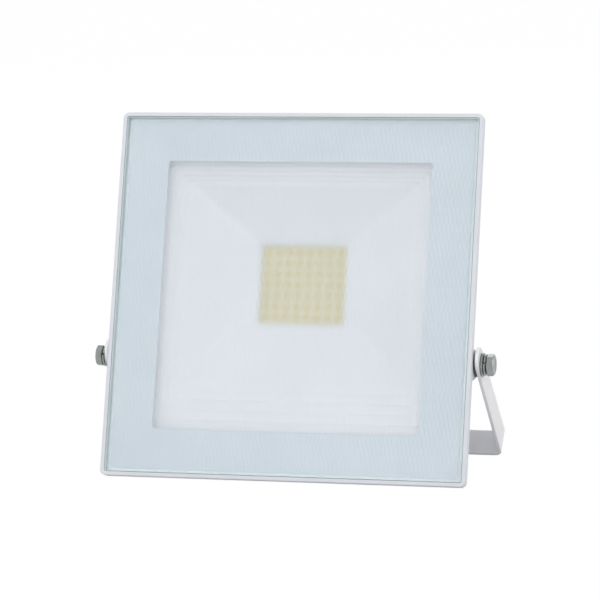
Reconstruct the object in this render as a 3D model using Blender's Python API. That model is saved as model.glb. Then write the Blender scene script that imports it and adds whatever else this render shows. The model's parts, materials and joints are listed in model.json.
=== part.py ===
"""LED floodlight: a shallow die-cast lamp head with a bonded front glass, in a U bracket on two side bolts.

The lamp stands as it is stored: leaning back on the bottom edge of its rim, propped by the bar of the bracket.
All lengths are in metres and all angles in radians. The head is drawn in face coordinates: x to the right, y up
the face from its bottom edge, z out of the face, so that a depth behind the front plane is a negative z.
"""

import math

import bmesh
import bpy
from mathutils import Matrix, Vector

# Clearance that pieces keep where they touch or pass through each other
GAP = 0.0003

# Lamp head outline
HEAD_WIDTH = 0.190
HEAD_HEIGHT = 0.1884
CORNER_RADIUS = 0.003
RIM_FACE = 0.0021
RIM_LAND = 0.0045
RIM_EDGE = 0.0005
SIDE_DRAFT = math.radians(22)
PAN_DEPTH = 0.0315
PAN_CORNER_RADIUS = 0.008
PAN_EDGE_RADIUS = 0.003
WALL = 0.0026
BACK_PLATE = 0.0025
LEDGE_WIDTH = 0.0043
CAVITY_CORNER_RADIUS = 0.006

# Front glass, its printed border and its seal
GLASS_RECESS = 0.0004
GLASS_THICKNESS = 0.0032
GLASS_EDGE = 0.0003
PRINT_THICKNESS = 0.0003
SEAL_THICKNESS = 0.0008
PRINT_SIDE_WIDTH = 0.0255
PRINT_END_WIDTH = 0.0250
WINDOW_CORNER_RADIUS = 0.0015

# Reflector: a funnel from the LED window to the mouth, with terraces near the mouth
REFLECTOR_THICKNESS = 0.0010
REFLECTOR_DROP = 0.0016
MOUTH_SIDE_MARGIN = 0.0040
MOUTH_END_MARGIN = 0.0010
FLANGE_WIDTH = 0.0050
LED_WINDOW_MARGIN = 0.0020
LED_WINDOW_TOP_MARGIN = 0.0022
LOWER_WALL_BOW = 1.7
TERRACE_COUNT = 5
TERRACE_SHARE = 0.29
TERRACE_RISE = 0.0005
WALL_SAG = 0.0008
MOUTH_RADIUS = 0.003
LED_WINDOW_RADIUS = 0.0010

# LED board and its parts
LED_COLUMNS = 8
LED_ROWS = 7
LED_PITCH_X = 0.0055
LED_PITCH_Y = 0.0056
LED_WIDTH = 0.0028
LED_LENGTH = 0.0035
LED_HEIGHT = 0.0007
LED_RISE = 0.0089
BOARD_THICKNESS = 0.0016
BOARD_SIDE_MARGIN = 0.026
BOARD_TOP_MARGIN = 0.012
DRIVER_STRIP = 0.036
SEAT_HEIGHT = 0.0020
SEAT_MARGIN = 0.003
DRIVER_IC_COUNT = 4
DRIVER_IC_PITCH = 0.011
DRIVER_IC_DROP = 0.0108
DRIVER_IC_SIZE = (0.0049, 0.0039, 0.0016)
BRIDGE_SIZE = (0.0082, 0.0064, 0.0025)
VARISTOR_RADIUS = 0.0038
VARISTOR_THICKNESS = 0.0034
FUSE_RADIUS = 0.0016
FUSE_LENGTH = 0.0085
TERMINAL_SIZE = (0.0180, 0.0080, 0.0065)
TERMINAL_WAYS = 3
TERMINAL_HOLE_RADIUS = 0.0016
EMBED = 0.0005

# Heat-sink fins on the back
FIN_COUNT = 15
FIN_HEIGHT = 0.0065
FIN_BASE = 0.0024
FIN_TIP = 0.0015
FIN_FIELD_MARGIN = 0.014
FIN_BOTTOM = 0.044
FIN_TOP_MARGIN = 0.017
FIN_END_SLOPE = math.radians(45)

# Small screws: board, reflector and earth
BOARD_SCREW_RADIUS = 0.00135
BOARD_SCREW_HEAD_RADIUS = 0.00275
BOARD_SCREW_HEAD_HEIGHT = 0.0020
BOARD_SCREW_BITE = 0.0034
BOARD_SCREW_INSET = 0.005
REFLECTOR_SCREW_RADIUS = 0.0012
REFLECTOR_SCREW_HEAD_RADIUS = 0.0024
REFLECTOR_SCREW_HEAD_HEIGHT = 0.0012
REFLECTOR_SCREW_BITE = 0.008
POST_RADIUS = 0.0030
EARTH_SCREW_RADIUS = 0.0018
EARTH_SCREW_HEAD_RADIUS = 0.0035
EARTH_SCREW_HEAD_HEIGHT = 0.0022
EARTH_SCREW_BITE = 0.0045
EARTH_BOSS_RADIUS = 0.0045
EARTH_BOSS_HEIGHT = 0.0040
EARTH_OFFSET = 0.034

# Cable gland in the back, left without its cord
GLAND_HEIGHT = 0.028
GLAND_THREAD_RADIUS = 0.0060
GLAND_BORE_RADIUS = 0.0038
GLAND_SEAL_BORE_RADIUS = 0.0035
GLAND_HEX_APOTHEM = 0.0075
GLAND_FLANGE = 0.0040
GLAND_STUB = 0.0075
GLAND_NECK = 0.0085
GLAND_SEAL_WALL = 0.0011
GLAND_SEAL_LENGTH = 0.0060
GLAND_CAP_LENGTH = 0.0125
GLAND_CAP_GRIP = 0.0070
GLAND_CAP_END = 0.0015
GLAND_GASKET_THICKNESS = 0.0010
LOCKNUT_THICKNESS = 0.0035

# Tilt joint: side bosses, washers and M6 bolts
PIVOT_HEIGHT = 0.0629
PIVOT_DEPTH = 0.0128
BOSS_SETBACK = 0.0006
BOSS_RADIUS = 0.0073
BOSS_EDGE = 0.0003
BOSS_FOOT_RADIUS = 0.0103
BOSS_FOOT_HEIGHT = 0.0015
INNER_BOSS_RADIUS = 0.0065
BOSS_REACH = 0.015
BOLT_RADIUS = 0.0029
BOLT_BITE = 0.0125
BOLT_HEX_APOTHEM = 0.0050
BOLT_HEAD_HEIGHT = 0.0035
BOLT_CHAMFER = 0.0007
RUBBER_RADIUS = 0.00625
RUBBER_THICKNESS = 0.0010
FLAT_WASHER_RADIUS = 0.0060
FLAT_WASHER_THICKNESS = 0.0010
SPRING_WASHER_RADIUS = 0.0054
SPRING_WASHER_SPACE = 0.0012
SPRING_WASHER_THICKNESS = 0.0009
SPRING_WASHER_CUT = math.radians(12)
RIGHT_BOLT_TURN = math.radians(-4)
LEFT_BOLT_TURN = math.radians(28)

# U bracket of bent strip
BRACKET_SHEET = 0.0017
BRACKET_WIDTH = 0.0144
BRACKET_BEND_RADIUS = 0.0020
BAR_CLEARANCE = 0.0074
ARM_END_WIDTH = 0.0128
ARM_END_RISE = 0.0042
BAR_HOLE_RADIUS = 0.0045
BAR_SLOT_OFFSET = 0.045
BAR_SLOT_LENGTH = 0.016
BAR_SLOT_RADIUS = 0.00325

# How the lamp stands
LEAN_BACK = math.radians(18.7)

# Facets
CORNER_STEPS = 4
PAN_EDGE_STEPS = 3
WALL_STEPS = 6
TERRACE_NOSE = 0.05
ROUND_STEPS = 28
SMALL_STEPS = 12
BEND_STEPS = 5
ARM_END_STEPS = 16

# Depths behind the front plane that follow from the sizes above
GLASS_BACK = GLASS_RECESS + GLASS_THICKNESS
PRINT_FRONT = GLASS_BACK + GAP
PRINT_BACK = PRINT_FRONT + PRINT_THICKNESS
SEAL_FRONT = PRINT_BACK + GAP
SEAL_BACK = SEAL_FRONT + SEAL_THICKNESS
LEDGE_DEPTH = SEAL_BACK + GAP
LEDGE_INSET = RIM_FACE + LEDGE_WIDTH
FLOOR_DEPTH = PAN_DEPTH - BACK_PLATE
SEAT_DEPTH = FLOOR_DEPTH - SEAT_HEIGHT
BOARD_BACK = SEAT_DEPTH - GAP
BOARD_FRONT = BOARD_BACK - BOARD_THICKNESS
FLANGE_DEPTH = LEDGE_DEPTH + REFLECTOR_DROP
FUNNEL_DEPTH = BOARD_FRONT - GAP - REFLECTOR_THICKNESS

# Heights up the face and half sizes that follow
FACE_CENTRE = HEAD_HEIGHT / 2
WINDOW_HALF_WIDTH = HEAD_WIDTH / 2 - PRINT_SIDE_WIDTH
WINDOW_HALF_HEIGHT = HEAD_HEIGHT / 2 - PRINT_END_WIDTH
LED_CENTRE = FACE_CENTRE + LED_RISE
LED_HALF_WIDTH = ((LED_COLUMNS - 1) * LED_PITCH_X + LED_WIDTH) / 2
LED_HALF_HEIGHT = ((LED_ROWS - 1) * LED_PITCH_Y + LED_LENGTH) / 2
BOARD_HALF_WIDTH = LED_HALF_WIDTH + BOARD_SIDE_MARGIN
BOARD_TOP = LED_CENTRE + LED_HALF_HEIGHT + BOARD_TOP_MARGIN
BOARD_BOTTOM = LED_CENTRE - LED_HALF_HEIGHT - DRIVER_STRIP
MOUTH_HALF_WIDTH = WINDOW_HALF_WIDTH + MOUTH_SIDE_MARGIN
MOUTH_HALF_HEIGHT = WINDOW_HALF_HEIGHT + MOUTH_END_MARGIN
POST_X = MOUTH_HALF_WIDTH + FLANGE_WIDTH / 2
POST_Y = MOUTH_HALF_HEIGHT + FLANGE_WIDTH / 2
POST_TOP = FLANGE_DEPTH + REFLECTOR_THICKNESS + GAP

# Places along the tilt axis, from the middle outwards
BOSS_FACE_X = HEAD_WIDTH / 2 - BOSS_SETBACK
RUBBER_X = BOSS_FACE_X + GAP
ARM_INNER_X = RUBBER_X + RUBBER_THICKNESS + GAP
ARM_OUTER_X = ARM_INNER_X + BRACKET_SHEET
FLAT_WASHER_X = ARM_OUTER_X + GAP
SPRING_WASHER_X = FLAT_WASHER_X + FLAT_WASHER_THICKNESS + GAP
BOLT_HEAD_X = SPRING_WASHER_X + SPRING_WASHER_SPACE + GAP
BOLT_TIP_X = BOSS_FACE_X - BOLT_BITE

# The bar passes under the bottom corner of the rim, which is the head's nearest edge to its path
BAR_REACH = math.hypot(PIVOT_HEIGHT, PIVOT_DEPTH) + BAR_CLEARANCE

# Face coordinates to coordinates about the tilt axis
FACE_FRAME = Matrix.Translation((0, -PIVOT_DEPTH, -PIVOT_HEIGHT)) @ Matrix.Rotation(math.pi / 2, 4, "X")

# Colours are linear; each entry is colour, roughness, metallic, alpha
WHITE_PAINT = ((0.80, 0.81, 0.82), 0.45, 0.0, 1.0)
CLEAR_GLASS = ((0.80, 0.90, 0.90), 0.10, 0.0, 0.30)
WHITE_PRINT = ((0.62, 0.69, 0.72), 0.35, 0.0, 1.0)
SILICONE = ((0.75, 0.78, 0.76), 0.60, 0.0, 1.0)
WHITE_PLASTIC = ((0.82, 0.84, 0.85), 0.50, 0.0, 1.0)
SOLDER_MASK = ((0.80, 0.78, 0.66), 0.40, 0.0, 1.0)
BLACK_EPOXY = ((0.02, 0.02, 0.02), 0.45, 0.0, 1.0)
BLUE_EPOXY = ((0.03, 0.10, 0.30), 0.40, 0.0, 1.0)
GREEN_LACQUER = ((0.10, 0.25, 0.12), 0.40, 0.0, 1.0)
NYLON = ((0.70, 0.71, 0.71), 0.50, 0.0, 1.0)
BLACK_RUBBER = ((0.03, 0.03, 0.035), 0.75, 0.0, 1.0)
ZINC = ((0.50, 0.50, 0.49), 0.32, 1.0, 1.0)


def rounded_rectangle(half_width, half_height, radius, centre_y, z):
    """Points of a rectangle with round corners, anticlockwise about +Z, in the plane at height z."""
    points = []
    corners = ((1, 1, 0.0), (-1, 1, 0.5), (-1, -1, 1.0), (1, -1, 1.5))
    for side_x, side_y, turn in corners:
        middle_x = side_x * (half_width - radius)
        middle_y = centre_y + side_y * (half_height - radius)
        for step in range(CORNER_STEPS + 1):
            angle = math.pi * (turn + 0.5 * step / CORNER_STEPS)
            points.append(Vector((middle_x + radius * math.cos(angle), middle_y + radius * math.sin(angle), z)))
    return points


def face_section(inset, depth, radius):
    """A loop that follows the head's outline, moved inwards by inset, at a depth behind the front plane."""
    return rounded_rectangle(HEAD_WIDTH / 2 - inset, HEAD_HEIGHT / 2 - inset, radius, FACE_CENTRE, -depth)


def blend(start, end, share):
    """The value a share of the way from start to end."""
    return start + (end - start) * share


def circle(radius, z, steps=ROUND_STEPS):
    """Points of a circle about the Z axis."""
    turns = [2 * math.pi * step / steps for step in range(steps)]
    return [Vector((radius * math.cos(turn), radius * math.sin(turn), z)) for turn in turns]


def hexagon(apothem, z, limit=None, steps=24):
    """Points of a hexagon about the Z axis, drawn in to a circle of radius limit where it reaches past it."""
    points = []
    for step in range(steps):
        turn = 2 * math.pi * step / steps
        from_flat = (turn % (math.pi / 3)) - math.pi / 6
        radius = apothem / math.cos(from_flat)
        if limit is not None:
            radius = min(radius, limit)
        points.append(Vector((radius * math.cos(turn), radius * math.sin(turn), z)))
    return points


def loft(loops, ring=False, bm=None):
    """Skin matching loops of points. The ends are capped, or joined to each other where the form is a ring."""
    bm = bm or bmesh.new()
    rows = [[bm.verts.new(point) for point in loop] for loop in loops]
    pairs = list(zip(rows, rows[1:]))
    if ring:
        pairs.append((rows[-1], rows[0]))
    faces = []
    for low, high in pairs:
        for index in range(len(low)):
            after = (index + 1) % len(low)
            faces.append(bm.faces.new((low[index], low[after], high[after], high[index])))
    if not ring:
        faces.append(bm.faces.new(rows[0]))
        faces.append(bm.faces.new(rows[-1]))
    bmesh.ops.recalc_face_normals(bm, faces=faces)
    return bm


def turned(profile, steps=ROUND_STEPS, ring=False, bm=None):
    """A solid turned about the Z axis from (radius, height) pairs."""
    return loft([circle(radius, z, steps) for radius, z in profile], ring, bm)


def box(bm, low, high):
    """Add a box between two opposite corners."""
    loops = []
    for z in (low[2], high[2]):
        corners = ((low[0], low[1]), (high[0], low[1]), (high[0], high[1]), (low[0], high[1]))
        loops.append([Vector((x, y, z)) for x, y in corners])
    return loft(loops, bm=bm)


def add_turned(bm, profile, place, steps=SMALL_STEPS):
    """Add a turned solid to a mesh, placed by a matrix."""
    piece = turned(profile, steps)
    bmesh.ops.transform(piece, matrix=place, verts=piece.verts)
    mesh = bpy.data.meshes.new("turned")
    piece.to_mesh(mesh)
    piece.free()
    bm.from_mesh(mesh)
    bpy.data.meshes.remove(mesh)


def make_object(name, bm, parent, finish, frame=None):
    """Turn a mesh into a named object under its parent, with a material of its own."""
    if frame is not None:
        bmesh.ops.transform(bm, matrix=frame, verts=bm.verts)
    mesh = bpy.data.meshes.new(name)
    bm.to_mesh(mesh)
    bm.free()
    mesh.shade_smooth()
    mesh.set_sharp_from_angle(angle=math.radians(30))
    piece = bpy.data.objects.new(name, mesh)
    bpy.context.scene.collection.objects.link(piece)
    piece.parent = parent
    if finish is not None:
        colour, roughness, metallic, alpha = finish
        material = bpy.data.materials.new(name)
        material.use_nodes = True
        shader = material.node_tree.nodes["Principled BSDF"]
        shader.inputs["Base Color"].default_value = (*colour, 1.0)
        shader.inputs["Roughness"].default_value = roughness
        shader.inputs["Metallic"].default_value = metallic
        shader.inputs["Alpha"].default_value = alpha
        mesh.materials.append(material)
    return piece


def combine(target, operation, name, bm, frame=None):
    """Join a tool to a piece, cut it out or keep what they share, with a live Boolean modifier."""
    tool = make_object(name, bm, target.parent, None, frame)
    tool.matrix_local = target.matrix_local
    tool.hide_render = True
    tool.display_type = "WIRE"
    modifier = target.modifiers.new(name, "BOOLEAN")
    modifier.operation = operation
    modifier.solver = "EXACT"
    modifier.object = tool


def side_inset(depth):
    """How far the outer wall has drawn in from the rim at a depth."""
    return max(0.0, depth - RIM_LAND) * math.tan(SIDE_DRAFT)


def face_place(x, y, depth):
    """A place on the head whose Z axis points out of the face."""
    return Matrix.Translation((x, y, -depth))


def side_place(side):
    """A place on the tilt axis whose Z axis points outwards, to the right for 1 and to the left for -1."""
    return Matrix.Rotation(side * math.pi / 2, 4, "Y")


def board_screw_places():
    """The four corners of the LED board where its screws go."""
    reach_x = BOARD_HALF_WIDTH - BOARD_SCREW_INSET
    heights = (BOARD_BOTTOM + BOARD_SCREW_INSET, BOARD_TOP - BOARD_SCREW_INSET)
    return [(side * reach_x, height) for height in heights for side in (-1, 1)]


def reflector_screw_places():
    """The four corners of the reflector's flange, each over a post of the housing."""
    return [(x * POST_X, FACE_CENTRE + y * POST_Y) for y in (-1, 1) for x in (-1, 1)]


def housing_pan():
    """The outside of the pan: rim land, drafted sides and a rounded back edge."""
    loops = []
    for step in range(PAN_EDGE_STEPS + 1):
        angle = math.pi / 2 * step / PAN_EDGE_STEPS
        depth = PAN_DEPTH - PAN_EDGE_RADIUS * (1 - math.cos(angle))
        inset = side_inset(depth) + PAN_EDGE_RADIUS * (1 - math.sin(angle))
        loops.append(face_section(inset, depth, PAN_CORNER_RADIUS))
    loops.append(face_section(0, RIM_LAND, CORNER_RADIUS))
    loops.append(face_section(0, RIM_EDGE, CORNER_RADIUS))
    loops.append(face_section(RIM_EDGE, 0, CORNER_RADIUS - RIM_EDGE))
    return loft(loops)


def housing_cavity():
    """The space in the pan: the glass rebate, its ledge, and the room behind it."""
    rebate_radius = max(CORNER_RADIUS - RIM_FACE, RIM_EDGE)
    floor_inset = max(side_inset(FLOOR_DEPTH) + WALL / math.cos(SIDE_DRAFT), LEDGE_INSET)
    loops = [
        face_section(floor_inset, FLOOR_DEPTH, CAVITY_CORNER_RADIUS),
        face_section(LEDGE_INSET, LEDGE_DEPTH, CAVITY_CORNER_RADIUS),
        face_section(RIM_FACE, LEDGE_DEPTH, rebate_radius),
        face_section(RIM_FACE, -EMBED, rebate_radius),
    ]
    return loft(loops)


def fins():
    """Upright tapered fins with sloping ends across the back."""
    bm = bmesh.new()
    field = HEAD_WIDTH / 2 - side_inset(PAN_DEPTH) - PAN_EDGE_RADIUS - FIN_FIELD_MARGIN
    pitch = 2 * field / (FIN_COUNT - 1)
    top = HEAD_HEIGHT - FIN_TOP_MARGIN
    run = FIN_HEIGHT * math.tan(FIN_END_SLOPE)
    for index in range(FIN_COUNT):
        middle = -field + index * pitch
        loops = []
        sections = ((EMBED - PAN_DEPTH, FIN_BASE / 2, 0.0), (-PAN_DEPTH - FIN_HEIGHT, FIN_TIP / 2, run))
        for z, half, slope in sections:
            low, high = FIN_BOTTOM + slope, top - slope
            corners = ((-half, low), (half, low), (half, high), (-half, high))
            loops.append([Vector((middle + x, y, z)) for x, y in corners])
        loft(loops, bm=bm)
    return bm


def outer_bosses():
    """The round seats of the bolts on both sides, each with a conical foot on the side wall."""
    bm = bmesh.new()
    foot = BOSS_FACE_X - BOSS_FOOT_HEIGHT
    profile = [
        (BOSS_FOOT_RADIUS, BOSS_FACE_X - BOSS_REACH),
        (BOSS_FOOT_RADIUS, foot),
        (BOSS_RADIUS, BOSS_FACE_X - BOSS_EDGE),
        (BOSS_RADIUS - BOSS_EDGE, BOSS_FACE_X),
    ]
    for side in (-1, 1):
        add_turned(bm, profile, side_place(side), ROUND_STEPS)
    return bm


def inner_bosses():
    """The blind sockets of the bolts, standing into the cavity from both side walls."""
    bm = bmesh.new()
    inner = BOSS_FACE_X - BOSS_REACH
    outer = BOSS_FACE_X - BOSS_FOOT_HEIGHT
    for side in (-1, 1):
        add_turned(bm, [(INNER_BOSS_RADIUS, inner), (INNER_BOSS_RADIUS, outer)], side_place(side), ROUND_STEPS)
    return bm


def cavity_fittings():
    """What stands on the cavity's floor: the board's seat, the reflector's posts and the earth boss."""
    bm = bmesh.new()
    seat_x = BOARD_HALF_WIDTH + SEAT_MARGIN
    low = (-seat_x, BOARD_BOTTOM - SEAT_MARGIN, -FLOOR_DEPTH - EMBED)
    high = (seat_x, BOARD_TOP + SEAT_MARGIN, -SEAT_DEPTH)
    box(bm, low, high)
    post = [(POST_RADIUS, -EMBED), (POST_RADIUS, FLOOR_DEPTH - POST_TOP)]
    for x, y in reflector_screw_places():
        add_turned(bm, post, face_place(x, y, FLOOR_DEPTH))
    boss = [(EARTH_BOSS_RADIUS, -EMBED), (EARTH_BOSS_RADIUS, EARTH_BOSS_HEIGHT)]
    add_turned(bm, boss, face_place(-EARTH_OFFSET, GLAND_HEIGHT, FLOOR_DEPTH))
    return bm


def housing_face_holes():
    """Blind holes for the small screws and the clear hole for the gland."""
    bm = bmesh.new()
    board = [(BOARD_SCREW_RADIUS + GAP, -BOARD_SCREW_BITE - GAP), (BOARD_SCREW_RADIUS + GAP, EMBED)]
    for x, y in board_screw_places():
        add_turned(bm, board, face_place(x, y, SEAT_DEPTH))
    post = [(REFLECTOR_SCREW_RADIUS + GAP, -REFLECTOR_SCREW_BITE - GAP), (REFLECTOR_SCREW_RADIUS + GAP, EMBED)]
    for x, y in reflector_screw_places():
        add_turned(bm, post, face_place(x, y, POST_TOP))
    earth = [(EARTH_SCREW_RADIUS + GAP, -EARTH_SCREW_BITE - GAP), (EARTH_SCREW_RADIUS + GAP, EMBED)]
    add_turned(bm, earth, face_place(-EARTH_OFFSET, GLAND_HEIGHT, FLOOR_DEPTH - EARTH_BOSS_HEIGHT))
    gland = [(GLAND_THREAD_RADIUS + GAP, -BACK_PLATE - EMBED), (GLAND_THREAD_RADIUS + GAP, EMBED)]
    add_turned(bm, gland, face_place(0, GLAND_HEIGHT, FLOOR_DEPTH), ROUND_STEPS)
    return bm


def side_bolt_holes():
    """Blind bolt holes in both side bosses."""
    bm = bmesh.new()
    hole = [(BOLT_RADIUS + GAP, BOLT_TIP_X - GAP), (BOLT_RADIUS + GAP, BOSS_FACE_X + EMBED)]
    for side in (-1, 1):
        add_turned(bm, hole, side_place(side), ROUND_STEPS)
    return bm


def build_housing(head):
    """The die-cast housing: the pan with its fins and bosses, hollowed, fitted out inside and drilled."""
    housing = make_object("housing", housing_pan(), head, WHITE_PAINT, FACE_FRAME)
    combine(housing, "UNION", "housing_fins", fins(), FACE_FRAME)
    combine(housing, "UNION", "housing_bosses", outer_bosses())
    combine(housing, "DIFFERENCE", "housing_cavity", housing_cavity(), FACE_FRAME)
    combine(housing, "UNION", "housing_sockets", inner_bosses())
    combine(housing, "UNION", "housing_fittings", cavity_fittings(), FACE_FRAME)
    combine(housing, "DIFFERENCE", "housing_face_holes", housing_face_holes(), FACE_FRAME)
    combine(housing, "DIFFERENCE", "housing_bolt_holes", side_bolt_holes())


def build_glass(head):
    """The front glass, the border printed on its back and the silicone seal behind it."""
    inset = RIM_FACE + GAP
    radius = max(CORNER_RADIUS - inset, GLASS_EDGE * 2)
    glass = [
        face_section(inset + GLASS_EDGE, GLASS_BACK, radius),
        face_section(inset, GLASS_BACK - GLASS_EDGE, radius),
        face_section(inset, GLASS_RECESS + GLASS_EDGE, radius),
        face_section(inset + GLASS_EDGE, GLASS_RECESS, radius),
    ]
    make_object("front_glass", loft(glass), head, CLEAR_GLASS, FACE_FRAME)
    window = (WINDOW_HALF_WIDTH, WINDOW_HALF_HEIGHT, WINDOW_CORNER_RADIUS, FACE_CENTRE)
    border = [
        face_section(inset + GLASS_EDGE, PRINT_BACK, radius),
        face_section(inset + GLASS_EDGE, PRINT_FRONT, radius),
        rounded_rectangle(*window, -PRINT_FRONT),
        rounded_rectangle(*window, -PRINT_BACK),
    ]
    make_object("glass_border", loft(border, ring=True), head, WHITE_PRINT, FACE_FRAME)
    seal = [
        face_section(inset, SEAL_BACK, radius),
        face_section(inset, SEAL_FRONT, radius),
        face_section(LEDGE_INSET - GAP, SEAL_FRONT, CAVITY_CORNER_RADIUS),
        face_section(LEDGE_INSET - GAP, SEAL_BACK, CAVITY_CORNER_RADIUS),
    ]
    make_object("glass_seal", loft(seal, ring=True), head, SILICONE, FACE_FRAME)


def funnel_section(share, depth):
    """A loop of the reflector between the LED window, at share 0, and the mouth, at share 1.

    The lower wall lags behind the others, so that it is steep at first and clears the driver parts under it.
    """
    half_width = blend(LED_HALF_WIDTH + LED_WINDOW_MARGIN, MOUTH_HALF_WIDTH, share)
    top = blend(LED_CENTRE + LED_HALF_HEIGHT + LED_WINDOW_TOP_MARGIN, FACE_CENTRE + MOUTH_HALF_HEIGHT, share)
    lower_share = share**LOWER_WALL_BOW
    lowest = LED_CENTRE - LED_HALF_HEIGHT - LED_WINDOW_MARGIN
    bottom = blend(lowest, FACE_CENTRE - MOUTH_HALF_HEIGHT, lower_share)
    radius = blend(LED_WINDOW_RADIUS, MOUTH_RADIUS, share)
    return rounded_rectangle(half_width, (top - bottom) / 2, radius, (top + bottom) / 2, -depth)


def funnel_profile():
    """(share, depth) pairs up the funnel: a slightly hollow wall, then terraces up to the mouth."""
    smooth = 1 - TERRACE_SHARE
    rise = FUNNEL_DEPTH - FLANGE_DEPTH
    points = []
    for step in range(WALL_STEPS + 1):
        share = smooth * step / WALL_STEPS
        sag = WALL_SAG * math.sin(math.pi * step / WALL_STEPS)
        points.append((share, FUNNEL_DEPTH - rise * share + sag))
    tread = TERRACE_SHARE / TERRACE_COUNT
    tread_rise = rise * tread - TERRACE_RISE
    share, depth = points[-1]
    for _ in range(TERRACE_COUNT):
        points.append((share + tread * (1 - TERRACE_NOSE), depth - tread_rise))
        share += tread
        depth -= tread_rise + TERRACE_RISE
        points.append((share, depth))
    return points


def build_reflector(head):
    """The white reflector with its flange and four screw holes."""
    profile = funnel_profile()
    inner = [funnel_section(share, depth) for share, depth in profile]
    outer = [funnel_section(share, depth + REFLECTOR_THICKNESS) for share, depth in profile]
    half_x = MOUTH_HALF_WIDTH + FLANGE_WIDTH
    half_y = MOUTH_HALF_HEIGHT + FLANGE_WIDTH
    radius = MOUTH_RADIUS + FLANGE_WIDTH / 2
    flange_depths = (FLANGE_DEPTH, FLANGE_DEPTH + REFLECTOR_THICKNESS)
    flange = [rounded_rectangle(half_x, half_y, radius, FACE_CENTRE, -depth) for depth in flange_depths]
    loops = inner + flange + outer[::-1]
    reflector = make_object("reflector", loft(loops, ring=True), head, WHITE_PLASTIC, FACE_FRAME)
    holes = bmesh.new()
    radius = REFLECTOR_SCREW_RADIUS + GAP
    hole = [(radius, -REFLECTOR_THICKNESS - EMBED), (radius, EMBED)]
    for x, y in reflector_screw_places():
        add_turned(holes, hole, face_place(x, y, FLANGE_DEPTH))
    combine(reflector, "DIFFERENCE", "reflector_holes", holes, FACE_FRAME)


def build_board(head):
    """The aluminium LED board with its packages soldered on."""
    bm = bmesh.new()
    box(bm, (-BOARD_HALF_WIDTH, BOARD_BOTTOM, -BOARD_BACK), (BOARD_HALF_WIDTH, BOARD_TOP, -BOARD_FRONT))
    board = make_object("led_board", bm, head, SOLDER_MASK, FACE_FRAME)
    packages = bmesh.new()
    for column in range(LED_COLUMNS):
        for row in range(LED_ROWS):
            x = (column - (LED_COLUMNS - 1) / 2) * LED_PITCH_X
            y = LED_CENTRE + (row - (LED_ROWS - 1) / 2) * LED_PITCH_Y
            low = (x - LED_WIDTH / 2, y - LED_LENGTH / 2, -BOARD_FRONT - EMBED)
            high = (x + LED_WIDTH / 2, y + LED_LENGTH / 2, -BOARD_FRONT + LED_HEIGHT)
            box(packages, low, high)
    combine(board, "UNION", "led_packages", packages, FACE_FRAME)
    holes = bmesh.new()
    radius = BOARD_SCREW_RADIUS + GAP
    for x, y in board_screw_places():
        add_turned(holes, [(radius, -EMBED), (radius, BOARD_THICKNESS + EMBED)], face_place(x, y, BOARD_BACK))
    combine(board, "DIFFERENCE", "board_holes", holes, FACE_FRAME)


def chip(size, chamfer):
    """A moulded package: a block whose upper half draws in."""
    half_x, half_y = size[0] / 2, size[1] / 2
    loops = []
    for z, inset in ((0, 0), (size[2] / 2, 0), (size[2], chamfer)):
        corners = ((inset - half_x, inset - half_y), (half_x - inset, inset - half_y))
        corners += ((half_x - inset, half_y - inset), (inset - half_x, half_y - inset))
        loops.append([Vector((x, y, z)) for x, y in corners])
    return loft(loops)


def on_board(x, y):
    """A place on the LED board's front face, with the clearance of a seated part."""
    return FACE_FRAME @ face_place(x, y, BOARD_FRONT - GAP)


def build_driver_parts(head):
    """The driver parts on the strip of the board below the LEDs."""
    terminal_y = BOARD_BOTTOM + TERMINAL_SIZE[1] / 2 + LED_WINDOW_MARGIN
    part_y = terminal_y + TERMINAL_SIZE[1] / 2 + VARISTOR_RADIUS + LED_WINDOW_MARGIN
    chip_y = LED_CENTRE - LED_HALF_HEIGHT - DRIVER_IC_DROP
    for index in range(DRIVER_IC_COUNT):
        x = (index - (DRIVER_IC_COUNT - 1) / 2) * DRIVER_IC_PITCH
        name = f"driver_ic_{index + 1}"
        make_object(name, chip(DRIVER_IC_SIZE, DRIVER_IC_SIZE[2] / 4), head, BLACK_EPOXY, on_board(x, chip_y))
    bridge = chip(BRIDGE_SIZE, BRIDGE_SIZE[2] / 4)
    make_object("bridge_rectifier", bridge, head, BLACK_EPOXY, on_board(0, part_y))
    disc = [
        (VARISTOR_RADIUS * 0.85, 0),
        (VARISTOR_RADIUS, VARISTOR_THICKNESS * 0.25),
        (VARISTOR_RADIUS, VARISTOR_THICKNESS * 0.75),
        (VARISTOR_RADIUS * 0.85, VARISTOR_THICKNESS),
    ]
    side = BRIDGE_SIZE[0] / 2 + VARISTOR_RADIUS * 2.4
    make_object("varistor", turned(disc, SMALL_STEPS), head, BLUE_EPOXY, on_board(-side, part_y))
    barrel = [
        (FUSE_RADIUS * 0.7, -FUSE_LENGTH / 2),
        (FUSE_RADIUS, -FUSE_LENGTH * 0.4),
        (FUSE_RADIUS, FUSE_LENGTH * 0.4),
        (FUSE_RADIUS * 0.7, FUSE_LENGTH / 2),
    ]
    lying = Matrix.Translation((0, 0, FUSE_RADIUS)) @ Matrix.Rotation(math.pi / 2, 4, "Y")
    fuse = turned(barrel, SMALL_STEPS)
    make_object("fuse_resistor", fuse, head, GREEN_LACQUER, on_board(side, part_y) @ lying)
    build_terminal(head, terminal_y)


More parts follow.
